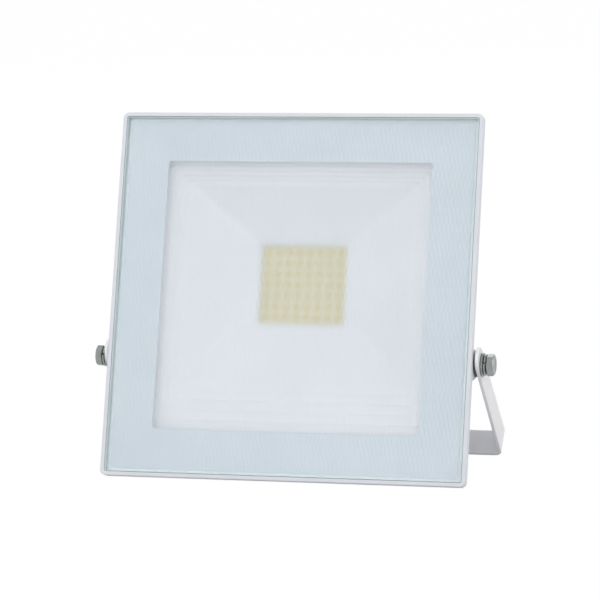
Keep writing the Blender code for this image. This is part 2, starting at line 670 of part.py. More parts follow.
def build_terminal(head, height):
    """The terminal block, with a wire entry at the bottom of each way."""
    block = chip(TERMINAL_SIZE, TERMINAL_SIZE[2] / 8)
    terminal = make_object("terminal_block", block, head, WHITE_PLASTIC, on_board(0, height))
    entries = bmesh.new()
    pitch = TERMINAL_SIZE[0] / TERMINAL_WAYS
    for way in range(TERMINAL_WAYS):
        x = (way - (TERMINAL_WAYS - 1) / 2) * pitch
        place = Matrix.Translation((x, 0, TERMINAL_SIZE[2] * 0.4)) @ Matrix.Rotation(math.pi / 2, 4, "X")
        entry = [(TERMINAL_HOLE_RADIUS, 0), (TERMINAL_HOLE_RADIUS, TERMINAL_SIZE[1] / 2 + EMBED)]
        add_turned(entries, entry, place)
    combine(terminal, "DIFFERENCE", "terminal_entries", entries, on_board(0, height))


def screw(shank_radius, bite, head_radius, head_height, rise):
    """A pan-head screw whose head stands rise above the mouth of its hole."""
    profile = [
        (shank_radius * 0.6, -bite),
        (shank_radius, -bite + shank_radius * 0.6),
        (shank_radius, rise),
        (head_radius, rise),
        (head_radius, rise + head_height * 0.5),
        (head_radius * 0.7, rise + head_height),
    ]
    return turned(profile, SMALL_STEPS)


def build_small_screws(head):
    """Screws of the LED board, the reflector and the earth terminal."""
    for index, (x, y) in enumerate(board_screw_places(), 1):
        rise = SEAT_DEPTH - BOARD_FRONT + GAP
        head_size = (BOARD_SCREW_HEAD_RADIUS, BOARD_SCREW_HEAD_HEIGHT)
        bm = screw(BOARD_SCREW_RADIUS, BOARD_SCREW_BITE, *head_size, rise)
        make_object(f"board_screw_{index}", bm, head, ZINC, FACE_FRAME @ face_place(x, y, SEAT_DEPTH))
    for index, (x, y) in enumerate(reflector_screw_places(), 1):
        rise = POST_TOP - FLANGE_DEPTH + GAP
        head_size = (REFLECTOR_SCREW_HEAD_RADIUS, REFLECTOR_SCREW_HEAD_HEIGHT)
        bm = screw(REFLECTOR_SCREW_RADIUS, REFLECTOR_SCREW_BITE, *head_size, rise)
        make_object(f"reflector_screw_{index}", bm, head, ZINC, FACE_FRAME @ face_place(x, y, POST_TOP))
    head_size = (EARTH_SCREW_HEAD_RADIUS, EARTH_SCREW_HEAD_HEIGHT)
    bm = screw(EARTH_SCREW_RADIUS, EARTH_SCREW_BITE, *head_size, GAP)
    place = face_place(-EARTH_OFFSET, GLAND_HEIGHT, FLOOR_DEPTH - EARTH_BOSS_HEIGHT)
    make_object("earth_screw", bm, head, ZINC, FACE_FRAME @ place)


def build_gland(head):
    """The cable gland: body, gasket and locknut at the wall, sealing ring and cap nut at its outer end."""
    outwards = FACE_FRAME @ face_place(0, GLAND_HEIGHT, PAN_DEPTH) @ Matrix.Rotation(math.pi, 4, "X")
    flange_start = GAP + GLAND_GASKET_THICKNESS + GAP
    flange_end = flange_start + GLAND_FLANGE
    neck_end = flange_end + GLAND_NECK
    seal_outer = GLAND_SEAL_BORE_RADIUS + GLAND_SEAL_WALL
    seal_start = neck_end - GLAND_SEAL_LENGTH
    body = [
        circle(GLAND_BORE_RADIUS, -GLAND_STUB, 24),
        circle(GLAND_THREAD_RADIUS, -GLAND_STUB, 24),
        circle(GLAND_THREAD_RADIUS, flange_start, 24),
        hexagon(GLAND_HEX_APOTHEM, flange_start),
        hexagon(GLAND_HEX_APOTHEM, flange_end),
        circle(GLAND_THREAD_RADIUS, flange_end, 24),
        circle(GLAND_THREAD_RADIUS, neck_end, 24),
        circle(seal_outer + GAP, neck_end, 24),
        circle(seal_outer + GAP, seal_start - GAP, 24),
        circle(GLAND_BORE_RADIUS, seal_start - GAP, 24),
    ]
    make_object("gland_body", loft(body, ring=True), head, NYLON, outwards)
    ring_inner = GLAND_SEAL_BORE_RADIUS
    cap_inner_end = flange_end + GAP + GLAND_CAP_LENGTH - GLAND_CAP_END
    seal_end = min(neck_end, cap_inner_end) - GAP
    seal = [(ring_inner, seal_start), (seal_outer, seal_start), (seal_outer, seal_end), (ring_inner, seal_end)]
    make_object("gland_seal", turned(seal, 24, ring=True), head, BLACK_RUBBER, outwards)
    cap_start = flange_end + GAP
    cap_end = cap_start + GLAND_CAP_LENGTH
    clear = GLAND_THREAD_RADIUS + GAP
    cap = [
        circle(clear, cap_start, 24),
        hexagon(GLAND_HEX_APOTHEM, cap_start),
        hexagon(GLAND_HEX_APOTHEM, cap_start + GLAND_CAP_GRIP),
        circle(GLAND_HEX_APOTHEM, cap_start + GLAND_CAP_GRIP + EMBED, 24),
        circle(GLAND_HEX_APOTHEM * 0.92, cap_end - GLAND_CAP_END, 24),
        circle(GLAND_HEX_APOTHEM * 0.70, cap_end, 24),
        circle(GLAND_BORE_RADIUS, cap_end, 24),
        circle(GLAND_BORE_RADIUS, cap_end - GLAND_CAP_END, 24),
        circle(clear, cap_end - GLAND_CAP_END, 24),
    ]
    make_object("gland_cap_nut", loft(cap, ring=True), head, NYLON, outwards)
    gasket_outer = GLAND_HEX_APOTHEM
    gasket = [(clear, GAP), (gasket_outer, GAP)]
    gasket += [(gasket_outer, GAP + GLAND_GASKET_THICKNESS), (clear, GAP + GLAND_GASKET_THICKNESS)]
    make_object("gland_gasket", turned(gasket, 24, ring=True), head, BLACK_RUBBER, outwards)
    nut_start = -BACK_PLATE - GAP
    locknut = [
        circle(clear, nut_start, 24),
        hexagon(GLAND_HEX_APOTHEM, nut_start),
        hexagon(GLAND_HEX_APOTHEM, nut_start - LOCKNUT_THICKNESS),
        circle(clear, nut_start - LOCKNUT_THICKNESS, 24),
    ]
    make_object("gland_locknut", loft(locknut, ring=True), head, NYLON, outwards)


def hex_bolt():
    """An M6 bolt along +Z: shank tip, shank, then a hexagon head with a chamfered end."""
    hex_corner = BOLT_HEX_APOTHEM / math.cos(math.pi / 6)
    end_x = BOLT_HEAD_X + BOLT_HEAD_HEIGHT
    loops = [
        circle(BOLT_RADIUS * 0.8, BOLT_TIP_X, 24),
        circle(BOLT_RADIUS, BOLT_TIP_X + BOLT_RADIUS * 0.3, 24),
        circle(BOLT_RADIUS, BOLT_HEAD_X, 24),
        hexagon(BOLT_HEX_APOTHEM, BOLT_HEAD_X),
        hexagon(BOLT_HEX_APOTHEM, end_x - BOLT_CHAMFER),
        hexagon(BOLT_HEX_APOTHEM, end_x - BOLT_CHAMFER / 2, (BOLT_HEX_APOTHEM + hex_corner) / 2),
        circle(BOLT_HEX_APOTHEM * 0.93, end_x, 24),
    ]
    return loft(loops)


def ring_washer(outer_radius, start, thickness):
    """A flat ring round the bolt."""
    inner_radius = BOLT_RADIUS + GAP
    profile = [
        (inner_radius, start),
        (outer_radius, start),
        (outer_radius, start + thickness),
        (inner_radius, start + thickness),
    ]
    return turned(profile, ring=True)


def spring_washer():
    """A split ring that climbs by the space it leaves, with its cut turned to the front."""
    inner_radius = BOLT_RADIUS + GAP
    climb = SPRING_WASHER_SPACE - SPRING_WASHER_THICKNESS
    start = -math.pi / 2 + SPRING_WASHER_CUT / 2
    sweep = 2 * math.pi - SPRING_WASHER_CUT
    loops = []
    for step in range(ROUND_STEPS + 1):
        share = step / ROUND_STEPS
        angle = start + sweep * share
        low = SPRING_WASHER_X + climb * share
        high = low + SPRING_WASHER_THICKNESS
        corners = ((inner_radius, low), (SPRING_WASHER_RADIUS, low))
        corners += ((SPRING_WASHER_RADIUS, high), (inner_radius, high))
        loops.append([Vector((r * math.cos(angle), r * math.sin(angle), z)) for r, z in corners])
    return loft(loops)


def build_side_hardware(head):
    """Rubber washer, flat washer, spring washer and bolt on each side of the head."""
    sides = (("left", -1, LEFT_BOLT_TURN), ("right", 1, RIGHT_BOLT_TURN))
    for name, side, turn in sides:
        place = side_place(side)
        rubber = ring_washer(RUBBER_RADIUS, RUBBER_X, RUBBER_THICKNESS)
        make_object(f"rubber_washer_{name}", rubber, head, BLACK_RUBBER, place)
        flat = ring_washer(FLAT_WASHER_RADIUS, FLAT_WASHER_X, FLAT_WASHER_THICKNESS)
        make_object(f"flat_washer_{name}", flat, head, ZINC, place)
        make_object(f"spring_washer_{name}", spring_washer(), head, ZINC, place)
        turned_place = place @ Matrix.Rotation(turn, 4, "Z")
        make_object(f"pivot_bolt_{name}", hex_bolt(), head, ZINC, turned_place)


def bracket_outline():
    """The bent strip seen from the front: down the right arm, along the bar, up the left arm, back inside."""
    outer_radius = BRACKET_BEND_RADIUS + BRACKET_SHEET
    top = ARM_END_RISE + ARM_END_WIDTH / 2 + EMBED
    outer, inner = [(ARM_OUTER_X, top)], [(ARM_INNER_X, top)]
    for corner_x, begin in ((1, 0.0), (-1, -0.5)):
        middle_x = corner_x * (ARM_INNER_X - BRACKET_BEND_RADIUS)
        middle_z = -BAR_REACH + BRACKET_BEND_RADIUS
        for step in range(BEND_STEPS + 1):
            angle = math.pi * (begin - 0.5 * step / BEND_STEPS)
            along, across = math.cos(angle), math.sin(angle)
            outer.append((middle_x + outer_radius * along, middle_z + outer_radius * across))
            inner.append((middle_x + BRACKET_BEND_RADIUS * along, middle_z + BRACKET_BEND_RADIUS * across))
    outer.append((-ARM_OUTER_X, top))
    inner.append((-ARM_INNER_X, top))
    return outer + inner[::-1]


def bracket_side_outline():
    """The strip seen from the side: a round end above the tilt axis, widening evenly down to the bar."""
    half = BRACKET_WIDTH / 2
    end = ARM_END_WIDTH / 2
    bottom = -BAR_REACH - BRACKET_SHEET - EMBED
    points = [(half, bottom)]
    for step in range(ARM_END_STEPS + 1):
        angle = math.pi * step / ARM_END_STEPS
        points.append((end * math.cos(angle), ARM_END_RISE + end * math.sin(angle)))
    points.append((-half, bottom))
    return points


def build_bracket():
    """The U bracket, bent from one strip, with its bolt holes, centre hole and two slots."""
    half = BRACKET_WIDTH / 2
    strip_ends = (-half - EMBED, half + EMBED)
    strip = loft([[Vector((x, y, z)) for x, z in bracket_outline()] for y in strip_ends])
    bracket = make_object("bracket", strip, None, WHITE_PAINT)
    side_ends = (-ARM_OUTER_X - EMBED, ARM_OUTER_X + EMBED)
    side = loft([[Vector((x, y, z)) for y, z in bracket_side_outline()] for x in side_ends])
    holes = bmesh.new()
    bolt_hole = [(BOLT_RADIUS + 2 * GAP, -ARM_OUTER_X - EMBED), (BOLT_RADIUS + 2 * GAP, ARM_OUTER_X + EMBED)]
    add_turned(holes, bolt_hole, side_place(1), ROUND_STEPS)
    bar_low = -BAR_REACH - BRACKET_SHEET - EMBED
    bar_high = -BAR_REACH + EMBED
    bar_hole = [(BAR_HOLE_RADIUS, bar_low), (BAR_HOLE_RADIUS, bar_high)]
    add_turned(holes, bar_hole, Matrix.Identity(4), ROUND_STEPS)
    for slot in (-1, 1):
        ends = [
            rounded_rectangle(BAR_SLOT_LENGTH / 2, BAR_SLOT_RADIUS, BAR_SLOT_RADIUS * 0.999, 0, z)
            for z in (bar_low, bar_high)
        ]
        moved = [[point + Vector((slot * BAR_SLOT_OFFSET, 0, 0)) for point in loop] for loop in ends]
        loft(moved, bm=holes)
    combine(bracket, "INTERSECT", "bracket_side", side)
    combine(bracket, "DIFFERENCE", "bracket_holes", holes)
    return bracket


def drop_below_axis(height, depth):
    """How far a point of the head lies below the tilt axis when the head leans back."""
    return (PIVOT_HEIGHT - height) * math.cos(LEAN_BACK) + (depth - PIVOT_DEPTH) * math.sin(LEAN_BACK)


def axis_height():
    """Height of the tilt axis above the floor, from whichever lower edge of the head touches first."""
    rim_edge = drop_below_axis(0, RIM_LAND)
    pan_edge = drop_below_axis(side_inset(PAN_DEPTH), PAN_DEPTH)
    return max(rim_edge, pan_edge)


def bracket_swing(height):
    """Angle of the arms behind the vertical at which the bar's front lower edge meets the floor."""
    reach = BAR_REACH + BRACKET_SHEET
    corner = math.hypot(reach, BRACKET_WIDTH / 2)
    return math.atan2(BRACKET_WIDTH / 2, reach) + math.acos(height / corner)


def centre_on_footprint(movers):
    """Move the whole lamp so that the middle of its depth lies over the origin."""
    bpy.context.view_layer.update()
    graph = bpy.context.evaluated_depsgraph_get()
    depths = []
    for piece in bpy.context.scene.objects:
        if piece.type == "MESH" and not piece.hide_render:
            evaluated = piece.evaluated_get(graph)
            depths += [(evaluated.matrix_world @ Vector(corner)).y for corner in exact_corners(evaluated)]
    shift = (min(depths) + max(depths)) / 2
    for mover in movers:
        mover.location.y -= shift


def exact_corners(evaluated):
    """The vertices of an evaluated object."""
    return [vertex.co for vertex in evaluated.data.vertices]


def main():
    """Build the lamp, stand it up and place it over the origin."""
    for old in list(bpy.data.objects):
        bpy.data.objects.remove(old, do_unlink=True)
    head = bpy.data.objects.new("tilt_axis", None)
    bpy.context.scene.collection.objects.link(head)
    build_housing(head)
    build_glass(head)
    build_reflector(head)
    build_board(head)
    build_driver_parts(head)
    build_small_screws(head)
    build_gland(head)
    build_side_hardware(head)
    height = axis_height()
    bracket = build_bracket()
    head.location = (0, 0, height)
    head.rotation_euler = (-LEAN_BACK, 0, 0)
    movers = [head]
    for piece in bpy.context.scene.objects:
        if piece.name.startswith("bracket"):
            piece.location = (0, 0, height)
            piece.rotation_euler = (bracket_swing(height), 0, 0)
            movers.append(piece)
    centre_on_footprint(movers)
    bpy.context.view_layer.update()


if __name__ == "__main__":
    main()
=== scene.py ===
"""White LED floodlight: its looks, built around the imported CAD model.

The CAD nodes that show are replaced by finer surfaces of the same sizes, and every other node gets a finish.
Lengths are in metres unless a name ends in _mm, and angles are in radians. Besides the world there are three
local frames. The face frame has x to the right, y up the face from its bottom edge and z out of the glass. A
side frame has z outwards along the tilt axis. The bracket frame has y across the strip and z up the arm.
"""

from __future__ import annotations

import json
import logging
import math
from collections.abc import Sequence
from dataclasses import dataclass
from enum import Enum
from functools import cache
from typing import Any

import bmesh
import bpy
import numpy as np
from mathutils import Matrix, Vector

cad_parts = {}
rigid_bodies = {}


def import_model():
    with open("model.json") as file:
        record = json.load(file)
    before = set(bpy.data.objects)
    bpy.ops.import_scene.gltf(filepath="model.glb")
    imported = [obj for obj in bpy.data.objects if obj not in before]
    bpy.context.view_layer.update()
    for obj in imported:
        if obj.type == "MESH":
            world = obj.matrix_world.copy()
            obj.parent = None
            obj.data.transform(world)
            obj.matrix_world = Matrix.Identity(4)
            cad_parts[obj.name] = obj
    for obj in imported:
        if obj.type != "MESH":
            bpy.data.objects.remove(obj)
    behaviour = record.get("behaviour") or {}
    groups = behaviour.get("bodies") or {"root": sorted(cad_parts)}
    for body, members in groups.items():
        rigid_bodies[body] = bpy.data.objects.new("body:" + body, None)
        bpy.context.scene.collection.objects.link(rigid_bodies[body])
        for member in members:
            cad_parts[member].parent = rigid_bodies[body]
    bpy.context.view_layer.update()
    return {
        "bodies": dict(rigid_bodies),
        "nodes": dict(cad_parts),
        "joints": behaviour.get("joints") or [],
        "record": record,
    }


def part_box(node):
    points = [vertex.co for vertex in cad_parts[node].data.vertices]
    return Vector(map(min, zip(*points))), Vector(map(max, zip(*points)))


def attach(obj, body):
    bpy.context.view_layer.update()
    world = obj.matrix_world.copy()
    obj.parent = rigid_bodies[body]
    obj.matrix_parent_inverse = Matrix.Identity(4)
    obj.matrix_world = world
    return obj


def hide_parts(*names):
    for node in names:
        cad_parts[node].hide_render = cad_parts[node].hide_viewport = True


Array = np.ndarray
Sizes = float | np.ndarray
LOG = logging.getLogger("floodlight")

# Air between neighbouring pieces
GAP = 0.0003
# How far a cutter, or a solid to be joined, reaches past the surface that it meets
OVER = 0.0005
# Points closer than this become one
WELD = 1e-6
# Edges that turn by more than this are shaded sharp
SHARP = math.radians(28)
# Segments round the bores, pins and rings
FEW, SOME, MANY = 24, 48, 72


class Body(Enum):
    """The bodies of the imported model."""

    HEAD = "lamp_head"
    BRACKET = "bracket"


class Side(Enum):
    """The two ends of the tilt axis, by the sign of X."""

    LEFT = -1
    RIGHT = 1


class Carve(Enum):
    """What a solid does to a piece."""

    JOIN = "UNION"
    CUT = "DIFFERENCE"


@dataclass(frozen=True)
class Place:
    """A frame in the world: an origin and three unit axes, one in each row."""

    origin: Array
    axes: Array

    def world(self, points: Array) -> Array:
        """World coordinates of points in this frame: the origin plus each coordinate times its axis."""
        return self.origin + points @ self.axes

    def at(self, x: float, y: float, z: float) -> Place:
        """The same frame moved to a point given in it."""
        return Place(self.world(np.array((x, y, z))), self.axes)

    def turned(self, angle: float) -> Place:
        """The same frame turned about its own z axis."""
        cos, sin = math.cos(angle), math.sin(angle)
        return Place(self.origin, np.array(((cos, sin, 0.0), (-sin, cos, 0.0), (0.0, 0.0, 1.0))) @ self.axes)

    def flipped(self) -> Place:
        """The same frame turned over about its own x axis."""
        return Place(self.origin, self.axes * np.array(((1.0,), (-1.0,), (-1.0,))))


def filleted(corners: Sequence[Sequence[float]], steps: int = 4, closed: bool = False) -> Array:
    """Round the corners of a polyline with arcs that touch both of its sides.

    An arc of radius r starts r / tan(half the corner's angle) away from the corner, and its points turn
    evenly about its centre. A point a little before it and one a little after it keep the straight sides'
    shading flat.

    Args:
        corners: coordinates of each corner, in any number of dimensions, and last its radius.
        steps: segments in each arc.
        closed: whether the last corner joins the first.

    Returns:
        The points of the rounded line, one in each row.
    """
    table = np.array(corners, float)
    points, radii = table[:, :-1], table[:, -1]
    share = np.linspace(0.0, 1.0, steps + 1)[:, None]
    parts = []
    for index, radius in enumerate(radii):
        here = points[index]
        inner = closed or 0 < index < len(points) - 1
        if radius <= 0.0 or not inner:
            parts.append(here[None])
            continue
        before = points[index - 1] - here
        after = points[(index + 1) % len(points)] - here
        before /= np.linalg.norm(before)
        after /= np.linalg.norm(after)
        half = math.acos(np.clip(before @ after, -1.0, 1.0)) / 2
        reach = radius / math.tan(half)
        bisector = (before + after) / np.linalg.norm(before + after)
        centre = here + bisector * radius / math.sin(half)
        sweep = math.pi - 2 * half
        first, last = here + before * reach - centre, here + after * reach - centre
        arc = (np.sin((1 - share) * sweep) * first + np.sin(share * sweep) * last) / math.sin(sweep)
        hold = reach + radius * 0.25
        parts += [(here + before * hold)[None], centre + arc, (here + after * hold)[None]]
    return np.concatenate(parts)


def band(
    inner: float, outer: float, low: float, high: float, edges: Sequence[float], steps: int = 4
) -> Array:
    """Section of a ring: a closed rectangle with round corners.

    Args:
        inner: inner radius.
        outer: outer radius.
        low: lower height.
        high: upper height.
        edges: radius of the inner corners, then of the outer ones.
        steps: segments in each corner.

    Returns:
        Rows of radius and height.
    """
    inside, outside = edges
    corners = ((inner, low, inside), (outer, low, outside), (outer, high, outside), (inner, high, inside))
    return filleted(corners, steps, closed=True)


def rectangles(
    half_width: Sizes, half_height: Sizes, radius: Sizes, centre: Sizes, z: Sizes, steps: int = 8
) -> Array:
    """Rectangles with round corners, one in each row of a grid of points.

    A corner's points lie at the corner of the rectangle drawn in by the radius, plus the radius times the
    cosine and sine of an angle that runs over that corner's quarter turn. Each size is a number, or one for
    each row.

    Args:
        half_width: half size along x.
        half_height: half size along y.
        radius: radius of the corners.
        centre: y of the middle.
        z: height of the plane.
        steps: segments in each corner.

    Returns:
        An array of rectangles by points by 3.
    """
    given = (half_width, half_height, radius, centre, z)
    values = np.broadcast_arrays(*(np.atleast_1d(np.asarray(value, float)) for value in given))
    half_x, half_y, round_by, middle, height = (value[:, None] for value in values)
    quarter = np.linspace(0.0, math.pi / 2, steps + 1)
    angle = (quarter + np.arange(4)[:, None] * math.pi / 2).ravel()
    sign_x = np.repeat((1, -1, -1, 1), steps + 1)
    sign_y = np.repeat((1, 1, -1, -1), steps + 1)
    x = sign_x * (half_x - round_by) + round_by * np.cos(angle)
    y = middle + sign_y * (half_y - round_by) + round_by * np.sin(angle)
    return np.stack((x, y, np.broadcast_to(height, x.shape)), axis=-1)


def around(radius: Array, turn: Array, height: Array) -> Array:
    """Points about the z axis: the radius times the cosine and the sine of the angle, and the height.

    Args:
        radius: distances from the axis.
        turn: angles about it.
        height: places along it.

    Returns:
        An array of the shape that the three broadcast to, by 3.
    """
    x, y, z = np.broadcast_arrays(radius * np.cos(turn), radius * np.sin(turn), height)
    return np.stack((x, y, z), axis=-1)


def lathe(profile: Array, steps: int = 64) -> Array:
    """Circles about the z axis, one for each row of radius and height in the profile."""
    turn = np.linspace(0.0, 2 * math.pi, steps, endpoint=False)
    return around(profile[:, :1], turn, profile[:, 1:])


def hexagon(apothem: float, corner: float, steps: int = 11) -> tuple[Array, Array]:
    """Angles round a hexagon with round corners, which lie at every sixth of a turn, and its radius at each.

    A corner's arc gets three angles and a flat gets even steps. With f the angle to the nearest corner, a
    flat's radius is apothem / cos(30 degrees - f). A corner's arc has its centre at c = (apothem - corner) /
    cos(30 degrees), and its radius is c cos f + sqrt(corner^2 - (c sin f)^2).

    Args:
        apothem: distance from the middle to a flat.
        corner: radius of the corners.
        steps: points on each flat.

    Returns:
        The angles and the radii.
    """
    sixth, cos = math.pi / 3, math.cos(math.pi / 6)
    near = corner / 2 / (apothem / cos)
    clear = near * 1.8
    one = np.concatenate((near * np.array((-1.0, 0.0, 1.0)), np.linspace(clear, sixth - clear, steps)))
    turn = (np.arange(6)[:, None] * math.pi / 3 + one).ravel()
    fold = np.abs((turn + math.pi / 6) % sixth - math.pi / 6)
    centre = (apothem - corner) / cos
    limit = math.atan2(corner / 2, centre + corner * cos)
    flat = apothem / np.cos(math.pi / 6 - fold)
    arc = centre * np.cos(fold) + np.sqrt(np.maximum(corner**2 - (centre * np.sin(fold)) ** 2, 0.0))
    return turn, np.where(fold < limit, arc, flat)


class Draft:
    """Collects surfaces and turns them into one mesh object at the origin."""

    def __init__(self) -> None:
        """Start empty."""
        self.points: list[Array] = []
        self.faces: list[list[int]] = []
        self.looks: list[int] = []
        self.count = 0

    def grid(
        self,
        points: Array,
        place: Place,
        *,
        ring: bool = False,
        first: bool = False,
        last: bool = False,
        look: int = 0,
    ) -> Draft:
        """Add a surface given as a grid of points, whose rows are closed loops.

        Args:
            points: rows by columns by 3.
            place: the frame that the points are given in.
            ring: whether the last row joins the first.
            first: whether the first row is closed by a flat face.
            last: whether the last row is closed by a flat face.
            look: index of the material that the surface takes.

        Returns:
            The draft itself, so that calls can be chained.
        """
        rows, columns = points.shape[:2]
        index = self.count + np.arange(rows * columns).reshape(rows, columns)
        across = np.hstack((index, index[:, :1]))
        net = np.vstack((across, across[:1])) if ring else across
        corners = (net[:-1, :-1], net[:-1, 1:], net[1:, 1:], net[1:, :-1])
        made = np.stack(corners, axis=-1).reshape(-1, 4).tolist()
        if first:
            made.append(index[0, ::-1].tolist())
        if last:
            made.append(index[-1].tolist())
        self.points.append(place.world(points.reshape(-1, 3)))
        self.faces += made
        self.looks += [look] * len(made)
        self.count += rows * columns
        return self

    def solid(self, points: Array, place: Place) -> Draft:
        """Add a closed solid, whose first and last rows are its ends."""
        return self.grid(points, place, first=True, last=True)

    def pin(self, radius: float, low: float, high: float, place: Place, steps: int) -> Draft:
        """Add a cylinder about a frame's z axis between two heights."""
        return self.solid(lathe(np.array(((radius, low), (radius, high))), steps), place)

    def piece(self, name: str, *looks: bpy.types.Material) -> bpy.types.Object:
        """Make the object.

        Args:
            name: name of the object and of its mesh.
            looks: the materials, in the order of the surfaces' look numbers.

        Returns:
            The object, linked to the scene, with its mesh in world coordinates.
        """
        mesh = bpy.data.meshes.new(name)
        mesh.from_pydata(np.concatenate(self.points).tolist(), [], self.faces)
        mesh.polygons.foreach_set("material_index", np.array(self.looks, np.int32))
        piece = bpy.data.objects.new(name, tidied(mesh))
        bpy.context.scene.collection.objects.link(piece)
        for look in looks:
            mesh.materials.append(look)
        return piece


def tidied(mesh: bpy.types.Mesh) -> bpy.types.Mesh:
    """Weld doubles, drop faces without area, turn faces outwards and mark sharp edges.

    Args:
        mesh: the mesh to tidy.

    Returns:
        The same mesh.
    """
    bm = bmesh.new()
    bm.from_mesh(mesh)
    bmesh.ops.remove_doubles(bm, verts=bm.verts, dist=WELD)
    bmesh.ops.dissolve_degenerate(bm, edges=bm.edges, dist=WELD)
    bmesh.ops.recalc_face_normals(bm, faces=bm.faces)
    bm.to_mesh(mesh)
    bm.free()
    mesh.shade_smooth()
    mesh.set_sharp_from_angle(angle=SHARP)
    return mesh


def carve(piece: bpy.types.Object, how: Carve, solids: Draft | bpy.types.Object) -> None:
    """Join solids to a piece, or cut them out of it, and keep the result as its mesh.

    Args:
        piece: the piece to change.
        how: whether to join or to cut.
        solids: the solids, as a draft or as an object that is used up.
    """
    tool = solids.piece(piece.name + "_tool") if isinstance(solids, Draft) else solids
    modifier = piece.modifiers.new("carve", "BOOLEAN")
    modifier.operation = how.value
    modifier.solver = "EXACT"
    modifier.object = tool
    graph = bpy.context.evaluated_depsgraph_get()
    result = bpy.data.meshes.new_from_object(piece.evaluated_get(graph))
    piece.modifiers.clear()
    piece.data = tidied(result)
    bpy.data.objects.remove(tool)


def seat(piece: bpy.types.Object, slot: str, *nodes: str, body: Body = Body.HEAD) -> None:
    """Let a finished piece ride on its body and stand for CAD nodes.

    Args:
        piece: the finished object.
        slot: the record's material slot, which is not used.
        nodes: CAD nodes that it replaces.
        body: the body that it moves with.
    """
    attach(piece, body.value)
    if nodes:
        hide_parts(*nodes)
    LOG.info("%s: %d faces on %s", piece.name, len(piece.data.polygons), body.value)


def linear(colour: str) -> tuple[float, float, float, float]:
    """Turn an sRGB hex colour into linear RGBA.

    Args:
        colour: the colour as #RRGGBB.

    Returns:
        The three linear levels, and 1 for alpha.
    """
    levels = [int(colour[at : at + 2], 16) / 255 for at in (1, 3, 5)]
    curve = [level / 12.92 if level <= 0.04045 else ((level + 0.055) / 1.055) ** 2.4 for level in levels]
    return (*curve, 1.0)


def add_node(
    tree: bpy.types.NodeTree,
    kind: str,
    settings: dict[str | int, Any] | None = None,
    links: dict[str | int, bpy.types.NodeSocket] | None = None,
) -> bpy.types.Node:
    """Add a node with its settings and links.

    Args:
        tree: the node tree.
        kind: the node's type.
        settings: properties by attribute name, and values of inputs by the input's name or number.
        links: output sockets by the name or number of the input that they feed.

    Returns:
        The new node.
    """
    node = tree.nodes.new(kind)
    for key, value in (settings or {}).items():
        if isinstance(key, str) and hasattr(node, key):
            setattr(node, key, value)
        else:
            node.inputs[key].default_value = value
    for key, socket in (links or {}).items():
        tree.links.new(socket, node.inputs[key])
    return node


def pass_lamps(tree: bpy.types.NodeTree, share: tuple[float, float, float, float]) -> None:
    """Let the lamps' light through a surface: for shadow rays a Transparent shader stands in its place.

    Args:
        tree: the material's nodes.
        share: the linear colour that the light keeps.
    """
    rays = add_node(tree, "ShaderNodeLightPath")
    clear = add_node(tree, "ShaderNodeBsdfTransparent", {"Color": share})
    shader = tree.nodes["Principled BSDF"]
    links = {0: rays.outputs["Is Shadow Ray"], 1: shader.outputs["BSDF"], 2: clear.outputs["BSDF"]}
    mix = add_node(tree, "ShaderNodeMixShader", links=links)
    tree.links.new(mix.outputs["Shader"], tree.nodes["Material Output"].inputs["Surface"])


@dataclass(frozen=True)
class Finish:
    """A surface as it is made: an even base colour with fine variation, and a relief that the light shows.

    The variation is noise of the size mottle_mm between the base colour and a second one. The relief is noise
    of the size grain_mm, as deep as grain_depth_mm, and the roughness follows it.
    """

    name: str
    colour: str
    second: str
    roughness: float
    metallic: float = 0.0
    mottle_mm: float = 12.0
    grain_mm: float = 0.8
    grain_depth_mm: float = 0.02
    roughness_spread: float = 0.06
    lets_through: float = 0.0

    @cache
    def material(self) -> bpy.types.Material:
        """Build the material, once for each finish.

        Returns:
            A Principled material whose colour, roughness and normal follow noise on Object coordinates.
        """
        made = bpy.data.materials.new(self.name)
        made.use_nodes = True
        tree = made.node_tree
        shader = tree.nodes["Principled BSDF"]
        point = {"Vector": add_node(tree, "ShaderNodeTexCoord").outputs["Object"]}
        mottle = add_node(tree, "ShaderNodeTexNoise", {"Scale": 1000 / self.mottle_mm, "Detail": 4.0}, point)
        ramp = add_node(tree, "ShaderNodeValToRGB", links={"Fac": mottle.outputs["Fac"]})
        low, high = ramp.color_ramp.elements
        low.position, high.position = 0.35, 0.65
        low.color, high.color = linear(self.colour), linear(self.second)
        grain = add_node(tree, "ShaderNodeTexNoise", {"Scale": 1000 / self.grain_mm, "Detail": 2.0}, point)
        height = grain.outputs["Fac"]
        least, most = self.roughness - self.roughness_spread, self.roughness + self.roughness_spread
        spread = add_node(tree, "ShaderNodeMapRange", {"To Min": least, "To Max": most}, {"Value": height})
        bump = add_node(tree, "ShaderNodeBump", {"Distance": self.grain_depth_mm / 1000}, {"Height": height})
        tree.links.new(ramp.outputs["Color"], shader.inputs["Base Color"])
        tree.links.new(spread.outputs["Result"], shader.inputs["Roughness"])
        tree.links.new(bump.outputs["Normal"], shader.inputs["Normal"])
        shader.inputs["Metallic"].default_value = self.metallic
        if self.lets_through:
            pass_lamps(tree, (self.lets_through,) * 3 + (1.0,))
        return made


